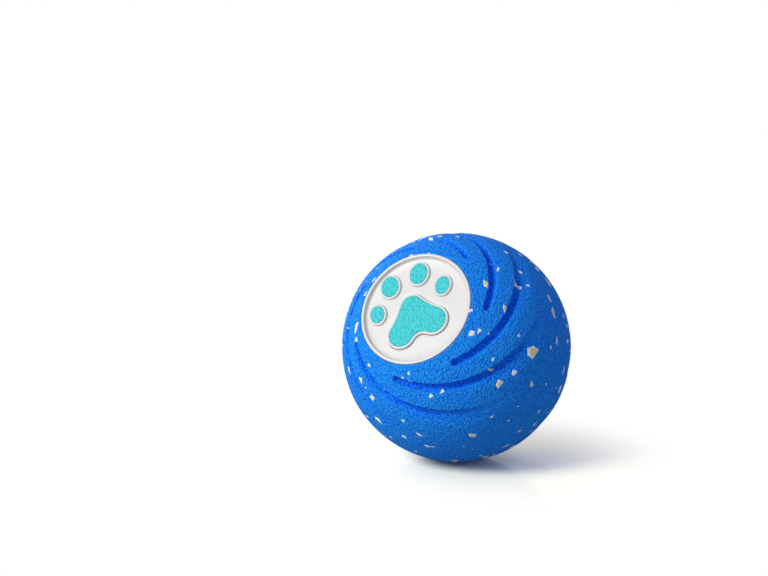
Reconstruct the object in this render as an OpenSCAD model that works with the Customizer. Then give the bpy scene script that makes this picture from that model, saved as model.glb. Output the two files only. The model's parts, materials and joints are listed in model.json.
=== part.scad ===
// Rolling dog ball: a foam ball around a sealed core with a geared off-centre weight.
// The core lies along a slanted axis: paw cap in front and above, charging cap behind and below.

/* [Ball] */
// Outer diameter of the foam ball
ball_d = 80; // [78:1:96]
// Angle of the core axis above the floor, paw side up
paw_tilt = 33; // [0:1:60]
// Play between the foam and the core, on the radius
foam_gap = 0.1; // [0.05:0.05:0.3]

/* [Swirl grooves] */
// Grooves around each cap
groove_count = 7; // [4:1:8]
// Radius of the round groove section
groove_r = 4.5; // [3:0.1:6]
// Depth of the groove at its middle, fading out to both ends
groove_depth = 1.3; // [0.8:0.1:2]
// Angle from the core axis to the groove tip
groove_tip_polar = 38; // [36:0.5:46]
// Angle from the core axis to the middle of the groove
groove_mid_polar = 47; // [45:0.5:54]
// Angle from the core axis to the far end of the groove
groove_end_polar = 63; // [60:0.5:76]
// Angle around the core axis from tip to far end
groove_sweep = 86; // [60:1:100]
// Angle around the core axis of the first groove tip, paw side
groove_phase = 7; // [0:1:51]
// Angle around the core axis of the first groove tip, port side
rear_groove_phase = 3; // [0:1:51]

/* [Core] */
// Outer diameter of the caps and the core tube
core_d = 40.2; // [40:0.2:46]
// Wall of the tube at its open rear mouth
tube_wall = 1.1; // [0.9:0.1:1.2]
// Width of the ledge that the rear bulkhead seats on
bulkhead_ledge = 0.5; // [0.4:0.1:0.6]
// Width of the ledge that the gear plate seats on
plate_ledge = 0.8; // [0.6:0.1:0.9]
// Distance of the holding ribs from the ball's middle
rib_z = 14; // [8:1:20]
// Height of the holding ribs
rib_h = 1.4; // [0.8:0.1:2]
// Width of the holding ribs
rib_w = 3; // [2:0.5:5]
// Play of a part that is pushed into the tube, on the radius
push_gap = 0.1; // [0.05:0.05:0.2]

/* [Caps] */
// Width of the raised rim
rim_w = 1.1; // [0.8:0.1:1.4]
// Depth of the floor below the rim
cap_recess = 1.4; // [1.4:0.1:2]
// Thickness of the cap floor
cap_floor_t = 2; // [1.9:0.1:2.5]
// How far the rim stands proud of the foam's edge
cap_proud = 0.1; // [0.05:0.05:0.5]
// Length of the front cap's spigot
spigot_l = 2.5; // [1.5:0.5:4]
// Wall of the spigots
spigot_wall = 1; // [0.8:0.1:1]
// Section of the rear gasket
gasket_t = 0.7; // [0.5:0.1:0.9]

/* [Paw] */
// Direction of the toes around the core axis
paw_turn = 122; // [0:0.5:360]
// Shift of the paw across its own width
paw_shift = -1.2; // [-1.5:0.1:1.5]
// Middle of the main pad below the cap's middle
pad_drop = 4; // [3.5:0.1:4.2]
// Distance of the main pad's top lobe above its middle
pad_top_y = 5.45; // [5:0.05:5.8]
// Radius of the top lobe
pad_top_r = 4; // [3.5:0.05:4.2]
// Distance of the side lobes from the paw's middle line
pad_side_x = 6.05; // [5.5:0.05:6.3]
// Distance of the side lobes below the pad's middle
pad_side_drop = 2.7; // [2.2:0.1:2.9]
// Radius of the side lobes
pad_side_r = 4.55; // [4:0.05:4.6]
// Radius of the hollow between the top lobe and a side lobe
pad_waist_r = 30; // [16:1:40]
// Radius of the hollow between the side lobes
pad_heel_r = 4.3; // [4:0.1:8]
// Sideways place of the inner toes
toe_inner_x = 5.5; // [5.2:0.1:5.8]
// Upward place of the inner toes
toe_inner_y = 12.2; // [12:0.1:12.4]
// Sideways place of the outer toes
toe_outer_x = 12.4; // [12:0.1:12.8]
// Upward place of the outer toes
toe_outer_y = 4.2; // [3.6:0.1:4.8]
// Half width of an inner toe
toe_inner_half_w = 3.2; // [2.8:0.1:3.5]
// Half length of an inner toe
toe_inner_half_l = 3.85; // [3.4:0.05:4]
// Half width of an outer toe
toe_outer_half_w = 2.6; // [2.4:0.1:2.9]
// Half length of an outer toe
toe_outer_half_l = 3.25; // [2.8:0.05:3.5]
// Lean of all toes away from the paw's direction
toe_lean = -13; // [-30:1:30]
// Further lean of the inner toes, to each side
toe_inner_fan = 6; // [0:1:20]
// Further lean of the outer toes, to each side
toe_outer_fan = 11; // [0:1:30]
// Width of the white border around each teal face
pad_border = 0.75; // [0.5:0.05:1]
// Height of the pads above the cap floor
pad_rise = 1.1; // [0.8:0.1:1.3]
// Depth of a teal inlay in its pad
inlay_depth = 0.8; // [0.5:0.1:1]
// How far an inlay stands proud of its border
inlay_proud = 0.1; // [0:0.05:0.2]
// Play around an inlay
inlay_gap = 0.05; // [0.02:0.01:0.1]

/* [Paw button] */
// Travel of the button
button_travel = 1; // [0.5:0.1:1]
// Play between the button and its hole in the cap
button_gap = 0.3; // [0.2:0.05:0.4]
// How far the button's flange reaches out under the cap floor
flange_w = 0.9; // [0.7:0.1:0.9]
// Thickness of the flange
flange_t = 1.2; // [0.8:0.1:1.6]
// Free height between the flange and the cap floor
flange_gap = 0.1; // [0.05:0.05:0.3]
// Length of the stem below the flange
stem_l = 1.2; // [1:0.1:2]
// Diameter of the stem
stem_d = 4; // [3:0.1:5]

/* [Switch] */
// Width of the square switch body
switch_w = 6; // [5:0.1:7]
// Height of the switch body
switch_h = 3.5; // [3:0.1:5]
// Diameter of the plunger
plunger_d = 3.4; // [2.5:0.1:4]
// Height of the plunger above the switch body
plunger_out = 1.4; // [1.2:0.1:2]
// Length of the plunger inside the switch body
plunger_in = 2.2; // [1.5:0.1:2.3]
// Running play of the plunger, on the radius
plunger_gap = 0.05; // [0.02:0.01:0.1]

/* [Main board] */
// Diameter of the control board
board_d = 31.6; // [30:0.2:31.8]
// Thickness of the control board
board_t = 1.2; // [0.8:0.1:1.6]
// Distance of the middle of each post from the board's edge
post_edge = 1.8; // [1.8:0.1:2.2]
// Diameter of the board's posts
post_d = 3.6; // [3:0.1:3.8]
// Free height between the board and the motor
under_board = 3; // [2.6:0.1:4]

/* [Screws] */
// Shank diameter of the small screws
small_screw_d = 1.4; // [1.2:0.1:1.6]
// Head diameter of the small screws
small_head_d = 2.6; // [2.2:0.1:3]
// Head height of the small screws
small_head_h = 0.9; // [0.6:0.1:1.2]
// Shank diameter of the large screws
large_screw_d = 2; // [1.6:0.1:2.2]
// Head diameter of the large screws
large_head_d = 3.6; // [3:0.1:3.7]
// Head height of the large screws
large_head_h = 1.2; // [0.8:0.1:1.3]
// Depth of a large screw in the tube
screw_bite = 5; // [3:0.5:6]
// Play around a shank or in a seat, on the radius
seat_gap = 0.02; // [0.01:0.01:0.05]

/* [Motor and battery] */
// Diameter of the motor
motor_d = 15.5; // [13:0.1:15.6]
// Length of the motor body
motor_l = 20; // [18:0.5:21]
// Thickness of the motor's plastic end
endbell_t = 2; // [1:0.1:3]
// Diameter of the motor's front boss
motor_boss_d = 6; // [5:0.1:6.2]
// Height of the motor's front boss
motor_boss_h = 1.2; // [0.8:0.1:1.6]
// Distance of each motor screw from the motor's axis
motor_screw_x = 5; // [4.9:0.1:5.6]
// Diameter of the motor shaft
motor_shaft_d = 1.5; // [1:0.1:2]
// Width of the battery
battery_w = 22; // [16:0.5:22]
// Thickness of the battery
battery_t = 8.5; // [6:0.1:8.6]
// Length of the battery
battery_l = 18; // [12:0.5:19]
// Corner radius of the battery
battery_corner = 1.5; // [1:0.1:2]
// Distance of the battery's flat side from the core axis
battery_y = 2.6; // [1.6:0.1:2.8]
// Wall and floor of the battery tray
tray_t = 1; // [0.8:0.1:1.2]
// Height of the battery tray
tray_h = 8; // [5:0.5:12]
// Play around the battery
tray_gap = 0.1; // [0.05:0.05:0.2]

/* [Gear train] */
// Gear module
gear_m = 0.4; // [0.38:0.01:0.41]
// Teeth of the large gears
wheel_teeth = 36; // [34:1:36]
// Teeth of the small gears
pinion_teeth = 12; // [11:1:12]
// Width of each gear
gear_t = 2; // [1.5:0.1:2.4]
// Free height between gear layers
layer_gap = 0.4; // [0.3:0.1:0.6]
// Play between the teeth along the pitch circle
backlash = 0.1; // [0.06:0.01:0.14]
// Thickness of the gear plate
plate_t = 2; // [1.6:0.1:2.5]
// Thickness of the gear cover
cover_t = 1.6; // [1.5:0.1:2]
// Direction of the idler around the core axis
idler_turn = 30; // [20:1:40]
// Diameter of the centre axle
axle_d = 2; // [1.6:0.1:2.4]
// Diameter of the idler pin
idler_pin_d = 1.5; // [1:0.1:1.6]
// Running play of a gear on its pin, on the radius
run_gap = 0.05; // [0.02:0.01:0.1]

/* [Swing weight] */
// Free space between the weight's sweep and the ribbon
weight_room = 0.4; // [0.3:0.1:3]
// Diameter of the weight's hub
weight_hub_d = 13; // [10:0.5:16]
// Width of the square key between output gear and weight
key_w = 5.6; // [4.5:0.1:5.8]
// Play around the key
key_gap = 0.05; // [0.02:0.01:0.1]
// Diameter of the output gear's neck through the cover
neck_d = 8.4; // [8.3:0.1:9]
// Free height between the weight and the walls beside it
weight_gap = 0.6; // [0.4:0.1:1]

/* [Rear bulkhead] */
// Thickness of the bulkhead
bulkhead_t = 1.5; // [1.2:0.1:2]
// Outer diameter of the axle bush
bush_d = 4.4; // [3.6:0.1:5]
// Diameter of the bush flange
bush_flange_d = 6.4; // [5.5:0.1:8]
// Thickness of the bush flange
bush_flange_t = 0.5; // [0.3:0.1:0.8]
// Free height between the bush flange and the weight
thrust_gap = 0.15; // [0.1:0.05:0.3]

/* [Charging port] */
// Width of the socket
socket_w = 9; // [8.9:0.1:9.2]
// Height of the socket
socket_h = 3.2; // [3.1:0.1:3.4]
// Length of the socket
socket_l = 6.5; // [6:0.1:7.5]
// Wall of the socket
socket_wall = 0.3; // [0.2:0.05:0.35]
// Depth of the tongue behind the socket's mouth
tongue_back = 1.4; // [1.2:0.1:2]
// Thickness of the charging board
usb_board_t = 1; // [0.8:0.1:1.2]
// Width of the charging board
usb_board_w = 20; // [18:0.5:22]
// Height of the charging board
usb_board_h = 12; // [11:0.5:14]
// Play around the socket in the cap
port_gap = 0.3; // [0.2:0.05:0.4]

/* [Port door] */
// Width of the door
door_w = 16.4; // [15.6:0.1:17]
// Thickness of the door
door_t = 1; // [0.8:0.1:1]
// Distance of the door's free edge from the core axis
door_reach = 4; // [3.6:0.1:5]
// Distance of the hinge axis from the core axis
hinge_y = 5.6; // [5.4:0.1:6.5]
// Diameter of the hinge knuckles
knuckle_d = 2.3; // [2.1:0.1:2.4]
// Width of the door's knuckle
door_knuckle_w = 8; // [6:0.5:9]
// Width of each knuckle on the cap
cap_knuckle_w = 3; // [2:0.5:3.5]
// Diameter of the hinge pin
hinge_pin_d = 1.2; // [0.9:0.1:1.3]
// Play around the door
door_gap = 0.2; // [0.15:0.05:0.3]
// Free height under the closed door
door_lift = 0.1; // [0.05:0.05:0.2]
// Length of the plug on the door
plug_l = 0.9; // [0.5:0.1:1]

/* [Ribbon and leads] */
// Width of the ribbon between the boards
ribbon_w = 3.6; // [2.5:0.1:4]
// Thickness of the ribbon
ribbon_t = 0.8; // [0.5:0.1:0.9]
// Play around the ribbon where it passes a wall
ribbon_gap = 0.3; // [0.2:0.05:0.5]
// Diameter of a lead
lead_d = 0.9; // [0.6:0.1:1.1]

/* [Hidden] */
$fa = 4;
$fs = 0.3;
CUT = 0.5;
// Free depth at a screw's tip or under a moving end
TIP_GAP = 0.2;

// Radii from the core axis
ball_r = ball_d / 2;
core_r = core_d / 2;
bore_r = core_r + foam_gap;
mouth_r = core_r - tube_wall;
drive_r = mouth_r - bulkhead_ledge;
front_r = drive_r - plate_ledge;
rim_r = core_r - rim_w;

// Heights of the caps along the core axis, the same at both ends
face_z = sqrt(ball_r * ball_r - bore_r * bore_r) + cap_proud;
floor_z = face_z - cap_recess;
tube_end = floor_z - cap_floor_t;

// Control board, hung from the front cap
flange_top = tube_end - flange_gap;
stem_end = flange_top - flange_t - stem_l;
switch_top = stem_end - plunger_out;
board_top = switch_top - switch_h;
board_low = board_top - board_t;
post_circle_r = board_d / 2 - post_edge;
POST_ANGLES = [-58, 62, 182];
chip_h = 1.2;

// Gear layers, from the gear plate backwards
plate_z = board_low - under_board - motor_l;
plate_low = plate_z - plate_t;
layer_step = gear_t + layer_gap;
layer_1 = plate_low - layer_step;
layer_2 = layer_1 - layer_step;
layer_3 = layer_2 - layer_step;
cover_top = layer_3 - layer_gap;
cover_low = cover_top - cover_t;
wheel_pitch_r = gear_m * wheel_teeth / 2;
pinion_pitch_r = gear_m * pinion_teeth / 2;
centre_dist = wheel_pitch_r + pinion_pitch_r;
PRESSURE = 25;
ADDENDUM = 0.9;
DEDENDUM = 1.15;
FLANK_STEPS = 3;
motor_turn = -90;
axle_r = axle_d / 2;
idler_hub_r = 1.5;
HUB_INSET = 0.1;

// Port end, from the rear cap forwards
pocket_z = -(floor_z - door_t - door_lift);
mouth_z = pocket_z + door_lift;
usb_board_low = mouth_z + socket_l;
bulkhead_low = usb_board_low + usb_board_t;
bulkhead_top = bulkhead_low + bulkhead_t;
weight_low = bulkhead_top + bush_flange_t + thrust_gap;
weight_top = cover_low - weight_gap;
weight_h = weight_top - weight_low;
KEY_SHARE = 0.6;
key_h = weight_h * KEY_SHARE;

// Bosses and screws of the tube
BOSS_WALL = 1.5;
BOSS_END = 1;
BOSS_SINK = 0.5;
HEAD_GAP = 0.2;
HEAD_DROP = 0.1;
POST_WALL = 0.4;
RIM_CLEAR = 0.3;
counterbore_r = large_head_d / 2 + HEAD_GAP;
counterbore_h = large_head_h + HEAD_DROP;
boss_r = large_screw_d / 2 + BOSS_WALL;
drive_post_r = counterbore_r + POST_WALL;
drive_screw_r = front_r - boss_r + BOSS_SINK;
DRIVE_ANGLES = [-25, 90, 205];
drive_boss_h = screw_bite + CUT + BOSS_END;
cap_screw_r = rim_r - counterbore_r - RIM_CLEAR;
CAP_ANGLES = [45, 135, 225, 315];
cap_boss_h = screw_bite + BOSS_END;

// Hinge of the port door
knuckle_r = knuckle_d / 2;
KNUCKLE_SUNK = 0.13;
hinge_z = -(face_z - knuckle_r - KNUCKLE_SUNK);
hinge_pin_l = door_knuckle_w + 2 * (door_gap + cap_knuckle_w);

// Ribbon route in the plane through the core axis: distance from the axis, height
ribbon_half = ribbon_t / 2;
ribbon_out = drive_r - ribbon_gap - ribbon_half;
ribbon_in = front_r - ribbon_gap - ribbon_half;
weight_r = ribbon_out - ribbon_half - weight_room;
RIBBON = [
    [board_d / 2 - 3, board_low - ribbon_half],
    [board_d / 2 - 0.6, board_low - ribbon_half],
    [ribbon_in, board_low - 2.2],
    [ribbon_in, plate_z - 0.1],
    [ribbon_out, plate_low - 1.4],
    [ribbon_out, bulkhead_low + 0.2],
    [ribbon_out - 1.4, usb_board_low - 0.6],
    [usb_board_w / 2 + 2, usb_board_low - 0.9],
    [usb_board_w / 2, usb_board_low - ribbon_half],
    [usb_board_w / 2 - 2.2, usb_board_low - ribbon_half]];

// Places a piece that is drawn along its own upright core axis into the ball on the floor
module posed() {
    translate([0, 0, ball_r])
        rotate([90 - paw_tilt, 0, 0])
            children();
}

// A cylinder from one height to another
module rod(r, low, high) {
    translate([0, 0, low])
        cylinder(r = r, h = high - low);
}

// A ring from one height to another
module ring(r_in, r_out, low, high) {
    difference() {
        rod(r_out, low, high);
        rod(r_in, low - CUT, high + CUT);
    }
}

// Children at the same distance from the core axis, one at each angle
module around(r, angles) {
    for (a = angles)
        rotate([0, 0, a])
            translate([r, 0, 0])
                children();
}

// A screw with its head's seat at height 0, shank upwards
module screw(shank_d, head_d, head_h, length) {
    rod(shank_d / 2, -head_h, length);
    rod(head_d / 2, -head_h, 0);
}

// A rectangle with round corners, middle at the origin
module round_rect(w, h, r) {
    square([w - 2 * r, h], center = true);
    square([w, h - 2 * r], center = true);
    for (x = [-1, 1], y = [-1, 1])
        translate([x * (w / 2 - r), y * (h / 2 - r)])
            circle(r = r);
}

// An outline with two half-round ends
module stadium(w, h) {
    square([w - h, h], center = true);
    for (x = [-1, 1])
        translate([x * (w - h) / 2, 0])
            circle(d = h);
}

// An extruded outline from one height to another
module slab(low, high) {
    translate([0, 0, low])
        linear_extrude(height = high - low)
            children();
}

// Middles of the main pad's lobes and hollows: across the paw first, then towards the toes
pad_top = [0, pad_top_y];
pad_side = [pad_side_x, -pad_side_drop];
function circles_meet(a, r_a, b, r_b) =
    let (d = norm(b - a), u = (b - a) / d, along = (r_a * r_a - r_b * r_b + d * d) / (2 * d),
         out = sqrt(r_a * r_a - along * along))
    a + along * u + out * [-u[1], u[0]];
pad_waist = circles_meet(pad_top, pad_top_r + pad_waist_r, pad_side, pad_side_r + pad_waist_r);
pad_heel = [0, pad_side[1] - sqrt(pow(pad_side_r + pad_heel_r, 2) - pad_side_x * pad_side_x)];
function angle_of(v) = atan2(v[1], v[0]);
top_a = angle_of(pad_waist - pad_top);
side_a = angle_of(pad_waist - pad_side);
heel_a = angle_of(pad_side - pad_heel);
function mirrored(p) = [-p[0], p[1]];
ARC_STEPS = 12;
function arc(centre, r, from, to) =
    [for (i = [0 : ARC_STEPS - 1]) let (a = from + (to - from) * i / ARC_STEPS) centre + r * [cos(a), sin(a)]];

// Main pad outline, moved out square to itself
function pad_points(out) = concat(
    arc(pad_top, pad_top_r + out, top_a, 180 - top_a),
    arc(mirrored(pad_waist), pad_waist_r - out, -top_a, -side_a),
    arc(mirrored(pad_side), pad_side_r + out, 180 - side_a, 360 - heel_a),
    arc(pad_heel, pad_heel_r - out, 180 - heel_a, heel_a),
    arc(pad_side, pad_side_r + out, heel_a - 180, side_a),
    arc(pad_waist, pad_waist_r - out, 180 + side_a, 180 + top_a));

module at_pad() {
    rotate([0, 0, paw_turn])
        translate([-pad_drop, -paw_shift, 0])
            children();
}

module pad_outline(out) {
    at_pad()
        polygon([for (p = pad_points(out)) [p[1], -p[0]]]);
}

// Toe places and half sizes, along the paw's direction first, then across, and each toe's lean
INNER_TOES = [for (s = [1, -1])
    [toe_inner_y, s * toe_inner_x, toe_inner_half_l, toe_inner_half_w, toe_lean + s * toe_inner_fan]];
OUTER_TOES = [for (s = [1, -1])
    [toe_outer_y, s * toe_outer_x, toe_outer_half_l, toe_outer_half_w, toe_lean + s * toe_outer_fan]];
TOES = concat(INNER_TOES, OUTER_TOES);
TOE_STEP = 10;

module toe_outlines(out) {
    rotate([0, 0, paw_turn])
        for (t = TOES)
            translate([t[0], t[1] - paw_shift])
                rotate(t[4])
                    polygon([for (a = [0 : TOE_STEP : 359]) [(t[2] + out) * cos(a), (t[3] + out) * sin(a)]]);
}

// Groove paths are small circles on the ball, through a tip, a middle and a far end
function on_ball(polar, turn) = [sin(polar) * cos(turn), sin(polar) * sin(turn), cos(polar)];
tip_dir = on_ball(groove_tip_polar, 0);
mid_dir = on_ball(groove_mid_polar, groove_sweep / 2);
end_dir = on_ball(groove_end_polar, groove_sweep);
path_cross = cross(mid_dir - tip_dir, end_dir - tip_dir);
path_axis = path_cross / norm(path_cross);
path_lean = acos(path_axis[2]);
path_turn = atan2(path_axis[1], path_axis[0]);
path_polar = acos(path_axis * tip_dir);
path_x = [cos(path_lean) * cos(path_turn), cos(path_lean) * sin(path_turn), -sin(path_lean)];
path_y = [-sin(path_turn), cos(path_turn), 0];
function path_angle(d) = atan2(d * path_y, d * path_x);
path_start = path_angle(tip_dir);
path_half = ((path_angle(end_dir) - path_start + 720) % 360) / 2;
path_mid = path_start + path_half;

// The cutting ring leans out of the ball at both ends of the groove
ring_lean = groove_depth / (1 - cos(path_half));
ring_centre_r = ball_r + groove_r - groove_depth + ring_lean;
ring_shift = ring_lean / sin(path_polar);

module groove_cutter() {
    rotate([0, path_lean, path_turn])
        rotate([0, 0, path_mid])
            translate([-ring_shift, 0, 0])
                rotate_extrude()
                    translate(ring_centre_r * [sin(path_polar), cos(path_polar)])
                        circle(r = groove_r);
}

module grooves(phase) {
    for (k = [0 : groove_count - 1])
        rotate([0, 0, phase + 360 * k / groove_count])
            groove_cutter();
}

module foam_shell() {
    color("#1f7ae0") posed() difference() {
        sphere(r = ball_r, $fa = 2);
        rod(bore_r, -ball_r, ball_r);
        for (s = [-1, 1])
            rod(bore_r + rib_h, s * rib_z - rib_w / 2 - foam_gap, s * rib_z + rib_w / 2 + foam_gap);
        grooves(groove_phase);
        rotate([180, 0, 0])
            grooves(rear_groove_phase);
    }
}

// Cut for the ribbon through a wall between two heights
module ribbon_notch(low, high) {
    slab(low, high)
        translate([ribbon_in - ribbon_t, -ribbon_w / 2 - ribbon_gap])
            square([core_r, ribbon_w + 2 * ribbon_gap]);
}

module core_tube() {
    color("#d9dde2") posed() {
        difference() {
            union() {
                rod(core_r, -tube_end, tube_end);
                for (s = [-1, 1])
                    rod(core_r + rib_h, s * rib_z - rib_w / 2, s * rib_z + rib_w / 2);
            }
            rod(front_r, plate_z - CUT, tube_end + CUT);
            rod(drive_r, bulkhead_top - CUT, plate_z);
            rod(mouth_r, -tube_end - CUT, bulkhead_top);
        }
        difference() {
            union() {
                around(drive_screw_r, DRIVE_ANGLES)
                    rod(boss_r, plate_z, plate_z + drive_boss_h);
                intersection() {
                    around(cap_screw_r, CAP_ANGLES)
                        rod(boss_r, -tube_end, -tube_end + cap_boss_h);
                    rod(mouth_r + CUT, -tube_end, tube_end);
                }
            }
            around(drive_screw_r, DRIVE_ANGLES)
                rod(large_screw_d / 2 + seat_gap, plate_z - CUT, plate_z + screw_bite + CUT);
            around(cap_screw_r, CAP_ANGLES)
                rod(large_screw_d / 2 + seat_gap, -tube_end - CUT, -tube_end + screw_bite);
        }
    }
}

module front_cap() {
    color("white") posed() difference() {
        union() {
            rod(core_r, tube_end, floor_z);
            ring(rim_r, core_r, tube_end, face_z);
            ring(front_r - push_gap - spigot_wall, front_r - push_gap, tube_end - spigot_l, floor_z);
            slab(tube_end, floor_z + pad_rise)
                toe_outlines(pad_border);
            around(post_circle_r, POST_ANGLES)
                rod(post_d / 2, board_top, floor_z);
        }
        slab(tube_end - CUT, floor_z + CUT)
            pad_outline(pad_border + button_gap);
        slab(floor_z + pad_rise - inlay_depth, face_z + CUT)
            toe_outlines(0);
        around(post_circle_r, POST_ANGLES)
            rod(small_screw_d / 2 + seat_gap, board_top - CUT, board_top + screw_bite);
    }
}

module toe_inlays() {
    color("turquoise") posed()
        slab(floor_z + pad_rise - inlay_depth, floor_z + pad_rise + inlay_proud)
            toe_outlines(-inlay_gap);
}

module paw_button() {
    color("white") posed() {
        difference() {
            slab(flange_top - flange_t, floor_z + pad_rise)
                pad_outline(pad_border);
            slab(floor_z + pad_rise - inlay_depth, face_z + CUT)
                pad_outline(0);
        }
        slab(flange_top - flange_t, flange_top)
            pad_outline(pad_border + flange_w);
        at_pad()
            rod(stem_d / 2, stem_end, flange_top);
    }
}

module paw_inlay() {
    color("turquoise") posed()
        slab(floor_z + pad_rise - inlay_depth, floor_z + pad_rise + inlay_proud)
            pad_outline(-inlay_gap);
}

module main_board() {
    color("seagreen") posed() difference() {
        rod(board_d / 2, board_low, board_top);
        around(post_circle_r, POST_ANGLES)
            rod(small_screw_d / 2 + seat_gap, board_low - CUT, board_top + CUT);
    }
}

// Middle, size across and height of each chip under the control board
CHIPS = [[-8.5, -2.5, 5, 4], [8.5, 2.5, 3, 3], [-2, 12.5, 4, 2.4]];

module board_chips() {
    color("#222222") posed()
        for (c = CHIPS)
            slab(board_low - chip_h, board_low)
                translate([c[0], c[1]])
                    square([c[2], c[3]], center = true);
}

led_size = [2, 1.2, 0.8];
led_inset = 1.4;

module status_leds() {
    color("lightyellow") posed()
        rotate([0, 0, paw_turn])
            for (t = INNER_TOES)
                translate([t[0] - led_inset, t[1] - paw_shift, board_top])
                    translate([-led_size[0] / 2, -led_size[1] / 2, 0])
                        cube(led_size);
}

module board_screws() {
    color("silver") posed()
        around(post_circle_r, POST_ANGLES)
            translate([0, 0, board_low])
                screw(small_screw_d, small_head_d, small_head_h, board_t + screw_bite - CUT);
}

module tact_switch() {
    color("#333333") posed() at_pad() difference() {
        slab(board_top, switch_top)
            square(switch_w, center = true);
        rod(plunger_d / 2 + plunger_gap, switch_top - plunger_in - button_travel - TIP_GAP, switch_top + CUT);
    }
}

module switch_plunger() {
    color("#f4f4f4") posed() at_pad()
        rod(plunger_d / 2, switch_top - plunger_in, stem_end);
}

// Battery and tray, on the far side of the axis from the motor
module battery_outline(out) {
    translate([0, battery_y + battery_t / 2])
        round_rect(battery_w + 2 * out, battery_t + 2 * out, battery_corner + out);
}

battery_low = plate_z + tray_t;

module battery_cell() {
    color("#8fb3d9") posed()
        slab(battery_low, battery_low + battery_l)
            battery_outline(0);
}

module battery_cradle() {
    color("#3a3d42") posed() difference() {
        slab(plate_z, plate_z + tray_h)
            battery_outline(tray_gap + tray_t);
        slab(battery_low, plate_z + tray_h + CUT)
            battery_outline(tray_gap);
    }
}

// Children on the motor's axis
module at_motor() {
    rotate([0, 0, motor_turn])
        translate([centre_dist, 0, 0])
            rotate([0, 0, -motor_turn])
                children();
}

can_top = plate_z + motor_l - endbell_t;
motor_tap = 3;
ENDBELL_SHARE = 0.7;
ENDBELL_INSET = 0.4;
shoulder_z = can_top + endbell_t * ENDBELL_SHARE;
motor_shaft_r = motor_shaft_d / 2;
SHAFT_SHORT = 0.5;
SHAFT_OUT = 0.3;
shaft_top = plate_z + motor_l - SHAFT_SHORT;

module motor_can() {
    color("silver") posed() at_motor() difference() {
        union() {
            rod(motor_d / 2, plate_z, can_top);
            rod(motor_boss_d / 2, plate_z - motor_boss_h, plate_z + CUT);
        }
        rod(motor_shaft_r + run_gap, plate_z - motor_boss_h - CUT, can_top + CUT);
        for (x = [-1, 1])
            translate([x * motor_screw_x, 0, 0])
                rod(small_screw_d / 2 + seat_gap, plate_z - CUT, plate_z + motor_tap);
    }
}

module motor_endbell() {
    color("#f0ead8") posed() at_motor() difference() {
        union() {
            rod(motor_d / 2 - ENDBELL_INSET, can_top, shoulder_z);
            rod(motor_boss_d / 2, can_top, can_top + endbell_t);
        }
        rod(motor_shaft_r + run_gap, can_top - CUT, can_top + endbell_t + CUT);
    }
}

terminal_x = 5.2;
terminal_size = [2, 0.4, 1.4];

module motor_terminals() {
    color("goldenrod") posed() at_motor()
        for (x = [-1, 1])
            translate([x * terminal_x - terminal_size[0] / 2, -terminal_size[1] / 2, shoulder_z])
                cube(terminal_size);
}

module motor_shaft() {
    color("#9aa0a6") posed() at_motor()
        rod(motor_shaft_r, layer_1 - SHAFT_OUT, shaft_top);
}

// Gear teeth: involute flanks between the root and the tip, backlash taken off both sides
function involute(r, base) = let (a = acos(min(1, base / r))) tan(a) * 180 / PI - a;
function tooth_half(teeth, r) =
    let (pitch = gear_m * teeth / 2, base = pitch * cos(PRESSURE))
    90 / teeth - backlash / (4 * pitch) * 180 / PI + involute(pitch, base) - involute(max(r, base), base);
function tooth_radii(teeth) =
    let (pitch = gear_m * teeth / 2, root = pitch - DEDENDUM * gear_m, tip = pitch + ADDENDUM * gear_m,
         low = max(root, pitch * cos(PRESSURE)))
    concat(low > root ? [root] : [], [for (i = [0 : FLANK_STEPS]) low + (tip - low) * i / FLANK_STEPS]);
function gear_points(teeth) =
    let (radii = tooth_radii(teeth), last = len(radii) - 1)
    [for (k = [0 : teeth - 1], side = [-1, 1], i = [0 : last])
        let (r = radii[side < 0 ? i : last - i], a = 360 * k / teeth + side * tooth_half(teeth, r))
        [r * cos(a), r * sin(a)]];

// A gear on layer height low, one tooth towards the given direction
module gear(teeth, low, turn) {
    rotate([0, 0, turn])
        slab(low, low + gear_t)
            polygon(gear_points(teeth));
}

// Turn that puts a gap, not a tooth, towards the partner in the opposite direction
function meshing(teeth, turn) = turn + 180 + 180 / teeth;

module motor_pinion() {
    color("goldenrod") posed() at_motor() difference() {
        gear(pinion_teeth, layer_1, meshing(pinion_teeth, motor_turn));
        rod(motor_shaft_r + seat_gap, layer_1 - CUT, layer_1 + gear_t + CUT);
    }
}

module motor_screws() {
    color("silver") posed() at_motor()
        for (x = [-1, 1])
            translate([x * motor_screw_x, 0, plate_low])
                screw(small_screw_d, small_head_d, small_head_h, plate_t + motor_tap - TIP_GAP);
}

module at_idler() {
    rotate([0, 0, idler_turn])
        translate([centre_dist, 0, 0])
            rotate([0, 0, -idler_turn])
                children();
}

module gear_plate() {
    color("#3a3d42") posed() difference() {
        rod(drive_r - push_gap, plate_low, plate_z);
        rod(axle_r + seat_gap, plate_low - CUT, plate_z + CUT);
        at_idler()
            rod(idler_pin_d / 2 + seat_gap, plate_low - CUT, plate_z + CUT);
        at_motor() {
            rod(motor_boss_d / 2 + seat_gap, plate_low - CUT, plate_z + CUT);
            for (x = [-1, 1])
                translate([x * motor_screw_x, 0, 0])
                    rod(small_screw_d / 2 + seat_gap, plate_low - CUT, plate_z + CUT);
        }
        around(drive_screw_r, DRIVE_ANGLES)
            rod(large_screw_d / 2 + seat_gap, plate_low - CUT, plate_z + CUT);
        ribbon_notch(plate_low - CUT, plate_z + CUT);
    }
}

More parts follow.
